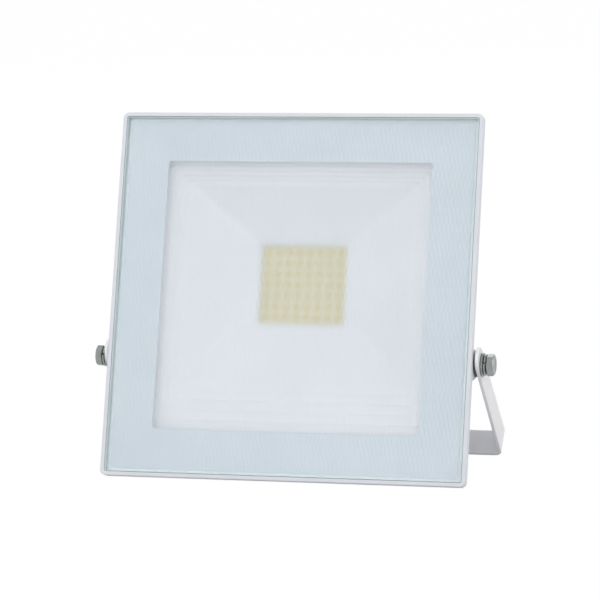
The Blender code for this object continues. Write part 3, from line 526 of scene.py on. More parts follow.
@dataclass(frozen=True)
class Glass:
    """Tempered soda-lime glass, faintly blue-green. The lamps' light passes straight through it.

    Where it is patterned, shallow upright dashes stand in staggered columns. With x across the face and u up
    it, their height is cos(pi x / column) cos(2 pi u / row). So a column stands every column_mm, and its
    dashes are half a row_mm long. An unevenness is added, finer up the face than across it, that blurs what
    lies behind. As a painted highlight, the colour runs to the lighter one of the crests with the height
    times highlight_gain, and clear is the colour that the lamps' light keeps. What lies against the back gets
    painted shade under the hollows, darker by up to hollow_shade.
    """

    name: str
    colour: str
    crest: str
    clear: str
    roughness: float
    relief_mm: float = 0.0
    unevenness: float = 0.0
    column_mm: float = 1.1
    row_mm: float = 9.0
    uneven_mm: tuple[float, float] = (0.34, 0.17)
    highlight_gain: float = 1.5
    hollow_shade: float = 0.1
    ior: float = 1.5

    def along(self, tree: bpy.types.NodeTree, lean: float) -> list[bpy.types.NodeSocket]:
        """How far a point lies across the face and up it, in millimetres, by two dot products.

        Args:
            tree: the material's nodes.
            lean: how far the face leans back.

        Returns:
            The two values.
        """
        point = {0: add_node(tree, "ShaderNodeTexCoord").outputs["Object"]}
        axes = ((1000.0, 0.0, 0.0), (0.0, math.sin(lean) * 1000, math.cos(lean) * 1000))
        settings = [{"operation": "DOT_PRODUCT", 1: axis} for axis in axes]
        return [add_node(tree, "ShaderNodeVectorMath", each, point).outputs["Value"] for each in settings]

    def scaled(
        self, tree: bpy.types.NodeTree, values: Sequence[bpy.types.NodeSocket], factors: Sequence[float]
    ) -> list[bpy.types.NodeSocket]:
        """Each value times its factor."""
        pairs = [({"operation": "MULTIPLY", 1: factor}, {0: value}) for value, factor in zip(values, factors)]
        return [add_node(tree, "ShaderNodeMath", *pair).outputs[0] for pair in pairs]

    def dashes(self, tree: bpy.types.NodeTree, place: Sequence[bpy.types.NodeSocket]) -> bpy.types.NodeSocket:
        """Height of the dashes.

        Args:
            tree: the material's nodes.
            place: how far a point lies across the face and up it.

        Returns:
            The height, from -1 in a hollow to 1 on a crest.
        """
        turns = self.scaled(tree, place, (math.pi / self.column_mm, 2 * math.pi / self.row_mm))
        cosine, product = {"operation": "COSINE"}, {"operation": "MULTIPLY"}
        waves = [add_node(tree, "ShaderNodeMath", cosine, {0: turn}).outputs[0] for turn in turns]
        return add_node(tree, "ShaderNodeMath", product, {0: waves[0], 1: waves[1]}).outputs[0]

    def relief(
        self, tree: bpy.types.NodeTree, place: Sequence[bpy.types.NodeSocket], height: bpy.types.NodeSocket
    ) -> bpy.types.NodeSocket:
        """The normal over the dashes and the unevenness.

        Args:
            tree: the material's nodes.
            place: how far a point lies across the face and up it.
            height: height of the dashes.

        Returns:
            The normal.
        """
        spot = self.scaled(tree, place, [1 / size for size in self.uneven_mm])
        joined = add_node(tree, "ShaderNodeCombineXYZ", links={"X": spot[0], "Y": spot[1]}).outputs["Vector"]
        fine = add_node(tree, "ShaderNodeTexNoise", {"Scale": 1.0, "Detail": 1.0}, {"Vector": joined})
        weighted = {"operation": "MULTIPLY_ADD", 1: self.unevenness}
        total = add_node(tree, "ShaderNodeMath", weighted, {0: fine.outputs["Fac"], 2: height}).outputs[0]
        bump = add_node(tree, "ShaderNodeBump", {"Distance": self.relief_mm / 1000}, {"Height": total})
        return bump.outputs["Normal"]

    def material(self, lean: float) -> bpy.types.Material:
        """Build the glass.

        Args:
            lean: how far the face leans back, which turns the dashes upright on it.

        Returns:
            A Principled material that transmits, with a Transparent shader in its place for rays from lamps.
        """
        made = bpy.data.materials.new(self.name)
        made.use_nodes = True
        tree = made.node_tree
        shader = tree.nodes["Principled BSDF"]
        shader.inputs["Base Color"].default_value = linear(self.colour)
        shader.inputs["Roughness"].default_value = self.roughness
        shader.inputs["IOR"].default_value = self.ior
        shader.inputs["Transmission Weight"].default_value = 1.0
        if self.relief_mm:
            place = self.along(tree, lean)
            height = self.dashes(tree, place)
            # Painted highlight: toward the dashes' crests the colour runs to the lighter crest colour
            gain = {"operation": "MULTIPLY", "use_clamp": True, 1: self.highlight_gain}
            share = add_node(tree, "ShaderNodeMath", gain, {0: height}).outputs[0]
            colours = {"data_type": "RGBA", 6: linear(self.colour), 7: linear(self.crest)}
            highlight_tint = add_node(tree, "ShaderNodeMix", colours, {"Factor": share})
            tree.links.new(highlight_tint.outputs[2], shader.inputs["Base Color"])
            tree.links.new(self.relief(tree, place, height), shader.inputs["Normal"])
        pass_lamps(tree, linear(self.clear))
        return made

    def shade(self, behind: bpy.types.Material, lean: float) -> None:
        """Paint shade onto what lies against the glass's back where the pattern's hollows gather less light.

        Args:
            behind: the material there, whose base colour comes from a node.
            lean: how far the face leans back.
        """
        tree = behind.node_tree
        base = tree.nodes["Principled BSDF"].inputs["Base Color"]
        # Painted shade: full colour under the crests, darker by hollow_shade under the hollows
        half = self.hollow_shade / 2
        spread = {"operation": "MULTIPLY_ADD", 1: half, 2: 1 - half}
        light = add_node(tree, "ShaderNodeMath", spread, {0: self.dashes(tree, self.along(tree, lean))})
        multiply = {"data_type": "RGBA", "blend_type": "MULTIPLY", 0: 1.0}
        mixed = add_node(tree, "ShaderNodeMix", multiply, {6: base.links[0].from_socket, 7: light.outputs[0]})
        tree.links.new(mixed.outputs[2], base)


# Rolled pattern of the glass's front: short upright dashes that soften the LEDs into a cream block, with
# a painted highlight as a lighter colour on their crests
FRONT_GLASS = Glass(
    "patterned_tempered_glass", "#E9EDF0", "#EEF2F4", "#F1F4F6", 0.12, relief_mm=0.025, unevenness=2.5
)
# Smooth back of the same sheet
GLASS_BACK = Glass("smooth_tempered_glass", "#EAEEF1", "#EAEEF1", "#F1F4F6", 0.05)
# Polyester powder coat on the die-casting: satin, with a soft orange peel that breaks up the highlights
CASTING_COAT = Finish(
    "powder_coat_on_die_casting", "#D3D7DE", "#D7DBE1", 0.42, grain_mm=0.9, grain_depth_mm=0.03
)
# The same coat on the pressed strip, a touch warmer and flatter
BRACKET_COAT = Finish("powder_coat_on_steel_strip", "#E8E7EA", "#ECECEE", 0.40, grain_mm=1.1)
# White ceramic print fired on the glass's back: even and faintly cloudy. It lets the lamps' light through,
# because the real funnel under it is lit by what the glass and the print scatter
PRINT = Finish(
    "ceramic_print",
    "#CFD4D8",
    "#D3D8DC",
    0.35,
    mottle_mm=30,
    grain_mm=0.3,
    grain_depth_mm=0.002,
    lets_through=0.97,
)
# Ground edge of the glass: frosted and pale green, a thin light line when seen through the front
GLASS_EDGE = Finish(
    "ground_glass_edge", "#D5E2E1", "#DCE8E7", 0.6, mottle_mm=3, grain_mm=0.3, lets_through=0.9
)
# Silicone bead: matt, a little milky, with a smeared skin
SILICONE = Finish(
    "silicone_bead", "#E6EEED", "#EAF0EF", 0.55, mottle_mm=5, grain_mm=1.5, grain_depth_mm=0.03
)
# Injection-moulded white polycarbonate: satin, with a trace of flow marks
REFLECTOR = Finish(
    "moulded_polycarbonate", "#E0DFE0", "#E4E2E3", 0.38, mottle_mm=40, grain_mm=0.5, grain_depth_mm=0.004
)
# White solder mask over copper on an aluminium board: glossy, a little uneven over the tracks
SOLDER_MASK = Finish("white_solder_mask", "#D6CFB6", "#DBD4BD", 0.30, mottle_mm=3, grain_mm=1.2)
# The LED package's moulded frame: bright, slightly warm resin
LED_FRAME = Finish(
    "led_frame_resin", "#D5C697", "#DACBA0", 0.35, mottle_mm=2, grain_mm=0.3, grain_depth_mm=0.005
)
# Phosphor in silicone gel over the LED dies: opaque yellow, with settled grains
PHOSPHOR = Finish(
    "phosphor_gel", "#CCB563", "#D2BC70", 0.30, mottle_mm=0.8, grain_mm=0.15, grain_depth_mm=0.01
)
# Moulded epoxy of chips: near black, matt from the mould
BLACK_EPOXY = Finish(
    "moulded_epoxy", "#26272A", "#2C2D30", 0.55, mottle_mm=2, grain_mm=0.2, grain_depth_mm=0.01
)
# Dipped epoxy of a disc varistor: glossy blue with a soft skin
BLUE_EPOXY = Finish(
    "dipped_epoxy", "#2D5C9C", "#3566A6", 0.25, mottle_mm=3, grain_mm=1.0, grain_depth_mm=0.03
)
# Baked lacquer of a wirewound resistor: green, lumpy
GREEN_LACQUER = Finish(
    "baked_lacquer", "#4C7B55", "#57865F", 0.45, mottle_mm=2, grain_mm=0.6, grain_depth_mm=0.05
)
# Moulded nylon of the terminal block: off-white, fine spark-eroded grain
TERMINAL_NYLON = Finish("moulded_nylon", "#E0DFD8", "#E6E5DF", 0.45, grain_mm=0.25, grain_depth_mm=0.01)
# Moulded nylon of the gland: cool white, satin, with a fine eroded grain that dulls it
GLAND_NYLON = Finish(
    "gland_nylon", "#DADCDC", "#E1E2E2", 0.48, mottle_mm=8, grain_mm=0.35, grain_depth_mm=0.015
)
# EPDM rubber: charcoal, matt, dusty
RUBBER = Finish("epdm_rubber", "#535559", "#5E6064", 0.75, mottle_mm=2, grain_mm=0.25)
# Bright zinc plate on steel: cool grey metal, slightly cloudy, with a fine grain from the bath
ZINC = Finish(
    "zinc_plated_steel",
    "#8C908F",
    "#9CA09F",
    0.30,
    metallic=1.0,
    mottle_mm=2.5,
    grain_mm=0.35,
    grain_depth_mm=0.004,
    roughness_spread=0.10,
)


@dataclass(frozen=True)
class Head:
    """Sizes of the lamp head that its pieces share, and the frames they are built in."""

    pivot: Array
    width: float = 0.190
    height: float = 0.1884
    corner_radius: float = 0.0030
    rim_face: float = 0.0021
    rim_land: float = 0.0045
    draft: float = math.radians(22)
    pan_depth: float = 0.0315
    pan_edge_radius: float = 0.003
    wall: float = 0.0026
    back_plate: float = 0.0025
    ledge_width: float = 0.0043
    cavity_corner_radius: float = 0.006
    glass_recess: float = 0.0004
    glass_thickness: float = 0.0032
    print_thickness: float = 0.0003
    seal_thickness: float = 0.0008
    print_side_width: float = 0.0255
    print_end_width: float = 0.0250
    seat_height: float = 0.0020
    board_thickness: float = 0.0016
    board_side_margin: float = 0.026
    board_top_margin: float = 0.012
    driver_strip: float = 0.036
    reflector_drop: float = 0.0016
    reflector_thickness: float = 0.0010
    mouth_side_margin: float = 0.0040
    mouth_end_margin: float = 0.0010
    flange_width: float = 0.0050
    post_screw_radius: float = 0.0012
    led_columns: int = 8
    led_rows: int = 7
    led_pitch_x: float = 0.0055
    led_pitch_y: float = 0.0056
    led_width: float = 0.0028
    led_length: float = 0.0035
    led_rise: float = 0.0089
    pivot_height: float = 0.0629
    pivot_depth: float = 0.0128
    bolt_radius: float = 0.0029
    boss_setback: float = 0.0006
    gland_height: float = 0.028
    gland_radius: float = 0.0060
    lean: float = math.radians(18.7)

    @property
    def face(self) -> Place:
        """The face frame: the pivot stands pivot_height up the face and pivot_depth behind it.

        Returns:
            A frame whose origin is the middle of the face's bottom edge.
        """
        sin, cos = math.sin(self.lean), math.cos(self.lean)
        axes = np.array(((1.0, 0.0, 0.0), (0.0, sin, cos), (0.0, -cos, sin)))
        return Place(self.pivot - self.pivot_height * axes[1] + self.pivot_depth * axes[2], axes)

    def side(self, side: Side) -> Place:
        """The frame of one end of the tilt axis.

        Args:
            side: the end.

        Returns:
            A frame at the pivot with z outwards and x down the face on the right side, up it on the left.
        """
        sin, cos, sign = math.sin(self.lean), math.cos(self.lean), side.value
        axes = np.array(((0.0, -sign * sin, -sign * cos), (0.0, cos, -sin), (sign, 0.0, 0.0)))
        return Place(np.array(self.pivot), axes)

    @property
    def centre(self) -> float:
        """Height of the middle of the face."""
        return self.height / 2

    @property
    def glass_back(self) -> float:
        """Depth of the glass's back."""
        return self.glass_recess + self.glass_thickness

    @property
    def print_front(self) -> float:
        """Depth of the print's front."""
        return self.glass_back + GAP

    @property
    def seal_front(self) -> float:
        """Depth of the seal's front."""
        return self.print_front + self.print_thickness + GAP

    @property
    def ledge_depth(self) -> float:
        """Depth of the ledge that carries the seal and the glass."""
        return self.seal_front + self.seal_thickness + GAP

    @property
    def ledge_inset(self) -> float:
        """Distance from the head's outline to the ledge's inner edge."""
        return self.rim_face + self.ledge_width

    @property
    def floor_depth(self) -> float:
        """Depth of the cavity's floor."""
        return self.pan_depth - self.back_plate

    @property
    def floor_inset(self) -> float:
        """Distance from the head's outline to the cavity's floor, past the drafted wall."""
        return self.inset_at(self.floor_depth) + self.wall / math.cos(self.draft)

    @property
    def seat_depth(self) -> float:
        """Depth of the pad that the LED board is screwed to."""
        return self.floor_depth - self.seat_height

    @property
    def board_front(self) -> float:
        """Depth of the LED board's front."""
        return self.seat_depth - GAP - self.board_thickness

    @property
    def flange_depth(self) -> float:
        """Depth of the reflector's flange."""
        return self.ledge_depth + self.reflector_drop

    @property
    def window(self) -> tuple[float, float]:
        """Half width and half height of the clear window in the print."""
        return self.width / 2 - self.print_side_width, self.height / 2 - self.print_end_width

    @property
    def mouth(self) -> tuple[float, float]:
        """Half width and half height of the reflector's mouth."""
        half_x, half_y = self.window
        return half_x + self.mouth_side_margin, half_y + self.mouth_end_margin

    @property
    def posts(self) -> list[tuple[float, float]]:
        """Where the reflector's four posts stand on the face."""
        reach_x, reach_y = (half + self.flange_width / 2 for half in self.mouth)
        return [(x * reach_x, self.centre + y * reach_y) for y in (-1, 1) for x in (-1, 1)]

    @property
    def led_centre(self) -> float:
        """Height of the middle of the LED block."""
        return self.centre + self.led_rise

    @property
    def led_block(self) -> tuple[float, float]:
        """Half width and half height of the LED block."""
        half_x = ((self.led_columns - 1) * self.led_pitch_x + self.led_width) / 2
        return half_x, ((self.led_rows - 1) * self.led_pitch_y + self.led_length) / 2

    @property
    def board(self) -> tuple[float, float, float]:
        """The LED board's outline.

        Returns:
            Half its width, and the heights of its lower and upper ends.
        """
        (half_x, half_y), middle = self.led_block, self.led_centre
        low, high = middle - half_y - self.driver_strip, middle + half_y + self.board_top_margin
        return half_x + self.board_side_margin, low, high

    @property
    def boss_face(self) -> float:
        """Distance from the middle to a side boss's face."""
        return self.width / 2 - self.boss_setback

    def inset_at(self, depth: float) -> float:
        """How far the outer wall has drawn in from the rim at a depth."""
        return max(0.0, depth - self.rim_land) * math.tan(self.draft)

    def sections(self, profile: Array) -> Array:
        """Loops that follow the head's outline, from rows of inset, depth and corner radius."""
        inset, depth, radius = profile.T
        return rectangles(self.width / 2 - inset, self.height / 2 - inset, radius, self.centre, -depth)


@dataclass(frozen=True)
class Housing:
    """The die-cast pan with its rim, side bosses, heat-sink fins and inner posts."""

    head: Head
    pan_corner_radius: float = 0.008
    rim_edge: float = 0.0006
    rim_inner_edge: float = 0.0003
    knee_radius: float = 0.0007
    ledge_edge: float = 0.0004
    cavity_edge: float = 0.0020
    fin_count: int = 15
    fin_height: float = 0.0065
    fin_base: float = 0.0024
    fin_tip: float = 0.0015
    fin_tip_radius: float = 0.0006
    fin_end_radius: float = 0.0006
    fin_flare: float = 0.0012
    fin_margin: float = 0.014
    fin_bottom: float = 0.044
    fin_top_margin: float = 0.017
    boss_radius: float = 0.0073
    boss_edge: float = 0.0003
    boss_foot_radius: float = 0.0083
    boss_foot_height: float = 0.0015
    boss_reach: float = 0.015
    boss_foot_reach: float = 0.00675
    boss_trim: float = 0.0004
    inner_boss_radius: float = 0.0065
    bolt_bite: float = 0.0125
    post_radius: float = 0.0030
    post_bite: float = 0.008
    seat_margin: float = 0.003
    seat_corner_radius: float = 0.001
    earth_offset: float = 0.034
    earth_radius: float = 0.0045
    earth_height: float = 0.0040

    def pan(self) -> Array:
        """Loops from the back plate round the outside, over the rim and down the cavity to its floor.

        Returns:
            The loops, each with its inset from the head's outline, its depth and its corner radius.
        """
        head = self.head
        back, floor = head.inset_at(head.pan_depth), head.floor_inset
        rim, ledge, inner = head.corner_radius - head.rim_face, head.ledge_depth, head.cavity_corner_radius
        corners = (
            (back + head.pan_edge_radius * 2, head.pan_depth, self.pan_corner_radius, 0.0),
            (back, head.pan_depth, self.pan_corner_radius, head.pan_edge_radius),
            (0.0, head.rim_land, head.corner_radius, self.knee_radius),
            (0.0, 0.0, head.corner_radius, self.rim_edge),
            (head.rim_face, 0.0, rim, self.rim_inner_edge),
            (head.rim_face, ledge, rim, 0.0),
            (head.ledge_inset, ledge, inner, self.ledge_edge),
            (floor, head.floor_depth, inner, self.cavity_edge),
            (floor + self.cavity_edge * 3, head.floor_depth, inner, 0.0),
        )
        return head.sections(filleted(corners, steps=5))

    def fin(self, middle: float) -> Array:
        """Loops of one upright fin from its root to its tip.

        The half width runs straight from root to tip, plus a flare that dies away as the square of the
        height left, and both ends slope in by as much as the fin rises. The last rows follow a quarter
        circle round the tip.

        Args:
            middle: where the fin stands across the face.

        Returns:
            The loops.
        """
        head, round_by = self.head, self.fin_tip_radius
        turn = np.linspace(0.0, math.pi / 2, 4)[1:]
        flank = np.linspace(-OVER, self.fin_height - round_by, 8)
        rise = np.concatenate((flank, self.fin_height - round_by * (1 - np.sin(turn))))
        drawn = np.concatenate((np.zeros(8), round_by * (1 - np.cos(turn))))
        share = np.clip(rise / self.fin_height, 0.0, 1.0)
        half = (self.fin_base + (self.fin_tip - self.fin_base) * share) / 2
        half += self.fin_flare * np.clip(1 - share * 4, 0.0, 1.0) ** 2 - drawn
        low, high = self.fin_bottom + rise + drawn, head.height - self.fin_top_margin - rise - drawn
        corner = np.minimum(half * 0.9, self.fin_end_radius)
        loops = rectangles(half, (high - low) / 2, corner, (high + low) / 2, -head.pan_depth - rise, 3)
        return loops + np.array((middle, 0.0, 0.0))

    def fins(self) -> Draft:
        """The row of fins, spread evenly over the back.

        Returns:
            The fins as solids that reach into the back plate.
        """
        head, draft = self.head, Draft()
        field = head.width / 2 - head.inset_at(head.pan_depth) - head.pan_edge_radius - self.fin_margin
        for middle in np.linspace(-field, field, self.fin_count):
            draft.solid(self.fin(middle), head.face)
        return draft

    def hollow(self) -> Draft:
        """A solid of the cavity's shape, larger all round by the bosses' trim and open to the front.

        Returns:
            The solid that the bosses are trimmed with.
        """
        head, grow = self.head, self.boss_trim
        outer, inner = head.corner_radius, head.cavity_corner_radius
        rows = (
            (head.rim_face - grow, -OVER, outer),
            (head.rim_face - grow, head.ledge_depth + grow, outer),
            (head.ledge_inset - grow, head.ledge_depth + grow, inner),
            (head.floor_inset - grow, head.floor_depth + grow, inner),
        )
        return Draft().solid(head.sections(np.array(rows)), head.face)

    def bosses(self) -> bpy.types.Object:
        """The two side bosses, each a cone on a round foot, trimmed to end inside the pan's wall.

        Returns:
            The pair as one object, to be joined to the pan.
        """
        end, edge, foot, draft = self.head.boss_face, self.boss_edge, self.boss_foot_radius, Draft()
        corners = (
            (foot, end - self.boss_foot_reach, 0.0),
            (foot, end - self.boss_foot_height, edge * 2),
            (self.boss_radius, end - edge, edge),
            (self.boss_radius - edge * 2, end, 0.0),
        )
        for side in Side:
            draft.solid(lathe(filleted(corners)), self.head.side(side))
        pair = draft.piece("bosses")
        carve(pair, Carve.CUT, self.hollow())
        return pair

    def inner_additions(self) -> Draft:
        """Bolt sockets, reflector posts, the board's pad and the earth boss, which stand in the cavity.

        Returns:
            The solids, each of which reaches into the wall or floor that carries it.
        """
        head, face, floor, draft = self.head, self.head.face, self.head.floor_depth, Draft()
        start, end = head.boss_face - self.boss_reach, head.boss_face - self.boss_foot_height
        for side in Side:
            draft.pin(self.inner_boss_radius, start, end, head.side(side), 32)
        for x, y in head.posts:
            draft.pin(self.post_radius, -OVER, floor - self.post_top, face.at(x, y, -floor), FEW)
        earth = face.at(-self.earth_offset, head.gland_height, -floor)
        draft.pin(self.earth_radius, -OVER, self.earth_height, earth, 32)
        half, low, high = head.board
        low, high = low - self.seat_margin, high + self.seat_margin
        heights = np.array((-floor - OVER, -head.seat_depth))
        size = (half + self.seat_margin, (high - low) / 2, self.seat_corner_radius, (high + low) / 2)
        return draft.solid(rectangles(*size, heights, 3), face)

    @property
    def post_top(self) -> float:
        """Depth of the posts' tops."""
        return self.head.flange_depth + self.head.reflector_thickness + GAP

    def holes(self) -> Draft:
        """The blind bolt and screw holes and the gland's hole.

        Returns:
            The solids to cut out.
        """
        head, face, draft = self.head, self.head.face, Draft()
        radius, end = head.bolt_radius + GAP, head.boss_face
        bolt = np.array(
            ((radius, end - self.bolt_bite - GAP), (radius, end - OVER), (radius + OVER * 2, end + OVER))
        )
        for side in Side:
            draft.solid(lathe(bolt, 40), head.side(side))
        for x, y in head.posts:
            post = face.at(x, y, -self.post_top)
            draft.pin(head.post_screw_radius + GAP, -self.post_bite - GAP, OVER, post, 16)
        gland = face.at(0.0, head.gland_height, -head.floor_depth)
        return draft.pin(head.gland_radius + GAP, -head.back_plate - OVER, OVER, gland, SOME)

    def build(self) -> None:
        """Build the casting: the pan, united with what stands on it, then drilled."""
        casting = Draft().solid(self.pan(), self.head.face).piece("housing_casting", CASTING_COAT.material())
        for solids in (self.fins, self.bosses, self.inner_additions):
            carve(casting, Carve.JOIN, solids())
        carve(casting, Carve.CUT, self.holes())
        seat(casting, "white_casting", "housing")


@dataclass(frozen=True)
class FrontGlass:
    """The patterned front glass, the white border printed on its back and the silicone bead behind it."""

    head: Head
    glass_edge: float = 0.0003
    glass_gap: float = 0.0002
    print_margin: float = 0.0022
    window_radius: float = 0.0015
    bead_radius: float = 0.0015
    bead_edge: float = 0.0003

    def glass(self) -> None:
        """Build the slab, in three surfaces: its front, its ground edge with the chamfers, and its back."""
        head, face, edge = self.head, self.head.face, self.glass_edge
        inset, front, back = head.rim_face + self.glass_gap, head.glass_recess, head.glass_back
        inner, radius = inset + edge * 4, max(head.corner_radius - inset, edge * 2)
        corners = (
            (inner, front, radius, 0.0),
            (inset, front, radius, edge),
            (inset, back, radius, edge),
            (inner, back, radius, 0.0),
        )
        loops = head.sections(filleted(corners, steps=3))
        slab = Draft().grid(loops[:2], face, first=True, look=0)
        slab.grid(loops[1:-1], face, look=1).grid(loops[-2:], face, last=True, look=2)
        looks = (FRONT_GLASS.material(head.lean), GLASS_EDGE.material(), GLASS_BACK.material(head.lean))
        seat(slab.piece("patterned_glass", *looks), "front_glass", "front_glass")

    def border(self) -> None:
        """Build the print: a flat frame from near the glass's outline to the window."""
        head, margin = self.head, self.head.rim_face + self.print_margin
        front, back = -head.print_front, -head.print_front - head.print_thickness
        edge = (head.width / 2 - margin, head.height / 2 - margin, self.window_radius)
        hole = (*head.window, self.window_radius)
        half_x, half_y, radius, z = np.array(((*edge, back), (*edge, front), (*hole, front), (*hole, back))).T
        look = PRINT.material()
        # Painted shade of the glass's dashes on the print
        FRONT_GLASS.shade(look, head.lean)
        frame = Draft().grid(rectangles(half_x, half_y, radius, head.centre, z), head.face, ring=True)
        seat(frame.piece("printed_border", look), "white_print", "glass_border")

    def bead(self) -> None:
        """Build the silicone bead on the housing's ledge."""
        head, outer, inner, edge = self.head, self.bead_radius, self.head.cavity_corner_radius, self.bead_edge
        near, far = head.rim_face + GAP, head.ledge_inset - GAP
        front, back = head.seal_front, head.seal_front + head.seal_thickness
        corners = (
            (near, back, outer, edge),
            (near, front, outer, edge),
            (far, front, inner, edge),
            (far, back, inner, edge),
        )
        bead = Draft().grid(head.sections(filleted(corners, closed=True)), head.face, ring=True)
        seat(bead.piece("silicone_bead", SILICONE.material()), "silicone", "glass_seal")

    def build(self) -> None:
        """Build the glass, its print and its seal."""
        self.glass()
        self.border()
        self.bead()


@dataclass(frozen=True)
class Reflector:
    """The moulded funnel from the LED window to the mouth, with fine terraces round the mouth."""

    head: Head
    led_margin: float = 0.0020
    led_top_margin: float = 0.0022
    lower_bow: float = 1.7
    terrace_count: int = 5
    terrace_share: float = 0.29
    terrace_rise: float = 0.0005
    nose: float = 0.10
    wall_sag: float = 0.0008
    mouth_radius: float = 0.003
    led_radius: float = 0.0010
    wall_steps: int = 24

    def loops(self, share: Array, depth: Array) -> Array:
        """Sections between the LED window, at share 0, and the mouth, at share 1.

        Each side runs straight with the share, except the lower one, which follows the share to the power of
        the bow and so is steep at first.

        Args:
            share: how far along the funnel each section lies.
            depth: depth of each section.

        Returns:
            The sections.
        """
        head = self.head
        block_x, block_y = head.led_block
        mouth_x, mouth_y = head.mouth
        half_width = block_x + self.led_margin + (mouth_x - block_x - self.led_margin) * share
        top_start = head.led_centre + block_y + self.led_top_margin
        top = top_start + (head.centre + mouth_y - top_start) * share
        low_start = head.led_centre - block_y - self.led_margin
        low = low_start + (head.centre - mouth_y - low_start) * share**self.lower_bow
        radius = self.led_radius + (self.mouth_radius - self.led_radius) * share
        return rectangles(half_width, (top - low) / 2, radius, (top + low) / 2, -depth, 6)

    def profile(self) -> tuple[Array, Array]:
        """The funnel's line: a wall that sags as a half sine, then treads that each end in a raised nose.

        Returns:
            Shares and depths from the LED window up to the mouth.
        """
        head = self.head
        bottom = head.board_front - GAP - head.reflector_thickness
        rise = bottom - head.flange_depth
        smooth, tread = 1 - self.terrace_share, self.terrace_share / self.terrace_count
        along = np.linspace(0.0, 1.0, self.wall_steps + 1)
        wall_share = smooth * along
        wall_depth = bottom - rise * wall_share + self.wall_sag * np.sin(math.pi * along)
        start = smooth + tread * np.arange(self.terrace_count)[:, None]
        spots = np.array((0.5, 1 - self.nose, 1 - self.nose / 2, 1.0))
        climb = np.array((0.5, 1 - self.nose, 1.0, 1.0)) * (rise * tread - self.terrace_rise)
        lift = np.array((0.0, 0.0, 0.35, 1.0)) * self.terrace_rise
        step_share, step_depth = start + tread * spots, bottom - rise * start - climb - lift
        return np.append(wall_share, step_share), np.append(wall_depth, step_depth)

    def build(self) -> None:
        """Build the moulding and drill its flange."""
        head, thickness = self.head, self.head.reflector_thickness
        share, depth = self.profile()
        half_x, half_y = (half + head.flange_width for half in head.mouth)
        radius, z = self.mouth_radius + head.flange_width / 2, -head.flange_depth
        flange = rectangles(half_x, half_y, radius, head.centre, np.array((z, z - thickness)), 6)
        back = self.loops(share, depth + thickness)[::-1]
        funnel = Draft().grid(np.concatenate((self.loops(share, depth), flange, back)), head.face, ring=True)
        piece = funnel.piece("reflector_moulding", REFLECTOR.material())
        holes = Draft()
        for x, y in head.posts:
            holes.pin(head.post_screw_radius + GAP, -thickness - OVER, OVER, head.face.at(x, y, z), FEW)
        carve(piece, Carve.CUT, holes)
        seat(piece, "reflector_white", "reflector")


@dataclass(frozen=True)
class LedBoard:
    """The aluminium board with its 8 by 7 LED packages, each a resin frame round a cup of phosphor."""

    head: Head
    corner_radius: float = 0.001
    edge: float = 0.0002
    package_height: float = 0.0007
    package_sink: float = 0.0001
    package_radius: float = 0.0002
    package_edge: float = 0.0001
    frame_height: float = 0.000595
    cup_inset: float = 0.00035
    cup_depth: float = 0.00015
    gel_gap: float = 0.00008
    gel_sink: float = 0.0001
    gel_edge_rise: float = 0.00005
    gel_rise: float = 0.00011
    gel_dome: float = 0.0005
    screw_inset: float = 0.005
    screw_radius: float = 0.00135

    def panel(self) -> None:
        """Build the board and drill its four screw holes."""
        head, thickness, round_by = self.head, self.head.board_thickness, self.corner_radius
        half, low, high = head.board
        corners = (
            (round_by, 0.0, 0.0),
            (0.0, 0.0, self.edge),
            (0.0, thickness, self.edge),
            (round_by, thickness, 0.0),
        )
        inset, rise = filleted(corners, steps=2).T
        back = -head.board_front - thickness
        size = (half - inset, (high - low) / 2 - inset, round_by, (high + low) / 2)
        slab = Draft().solid(rectangles(*size, rise + back, 3), head.face)
        board = slab.piece("led_board_panel", SOLDER_MASK.material())
        holes = Draft()
        for x in (-1, 1):
            for y in (low + self.screw_inset, high - self.screw_inset):
                spot = head.face.at(x * (half - self.screw_inset), y, back)
                holes.pin(self.screw_radius + GAP, -OVER, thickness + OVER, spot, FEW)
        carve(board, Carve.CUT, holes)
        seat(board, "led_board", "led_board")

    def packages(self) -> None:
        """Build the frames and the phosphor from rows of inset from a package's outline and height."""
        head, cup, top = self.head, self.cup_inset, self.package_height
        floor, gel = top - self.cup_depth, cup + self.gel_gap
        frame_rows = (
            (0.0, -self.package_sink),
            (0.0, self.frame_height),
            (self.package_edge, top),
            (cup, top),
            (cup + self.package_edge, floor),
        )
        gel_rows = (
            (gel, floor - self.gel_sink),
            (gel, floor + self.gel_edge_rise),
            (cup + self.gel_dome, floor + self.gel_rise),
        )
        parts = (("led_frames", frame_rows, LED_FRAME), ("led_phosphor", gel_rows, PHOSPHOR))
        for name, rows, finish in parts:
            inset, height = np.array(rows).T
            half_x, half_y = head.led_width / 2 - inset, head.led_length / 2 - inset
            loops, draft = rectangles(half_x, half_y, self.package_radius, 0.0, height, 1), Draft()
            for column in range(head.led_columns):
                for row in range(head.led_rows):
                    x = (column - (head.led_columns - 1) / 2) * head.led_pitch_x
                    y = head.led_centre + (row - (head.led_rows - 1) / 2) * head.led_pitch_y
                    draft.solid(loops, head.face.at(x, y, -head.board_front))
            seat(draft.piece(name, finish.material()), "led_board")

    def build(self) -> None:
        """Build the board with its packages."""
        self.panel()
        self.packages()


# How each bolt's head happened to stop when it was tightened
BOLT_TURNS = {Side.RIGHT: math.radians(-4), Side.LEFT: math.radians(28)}


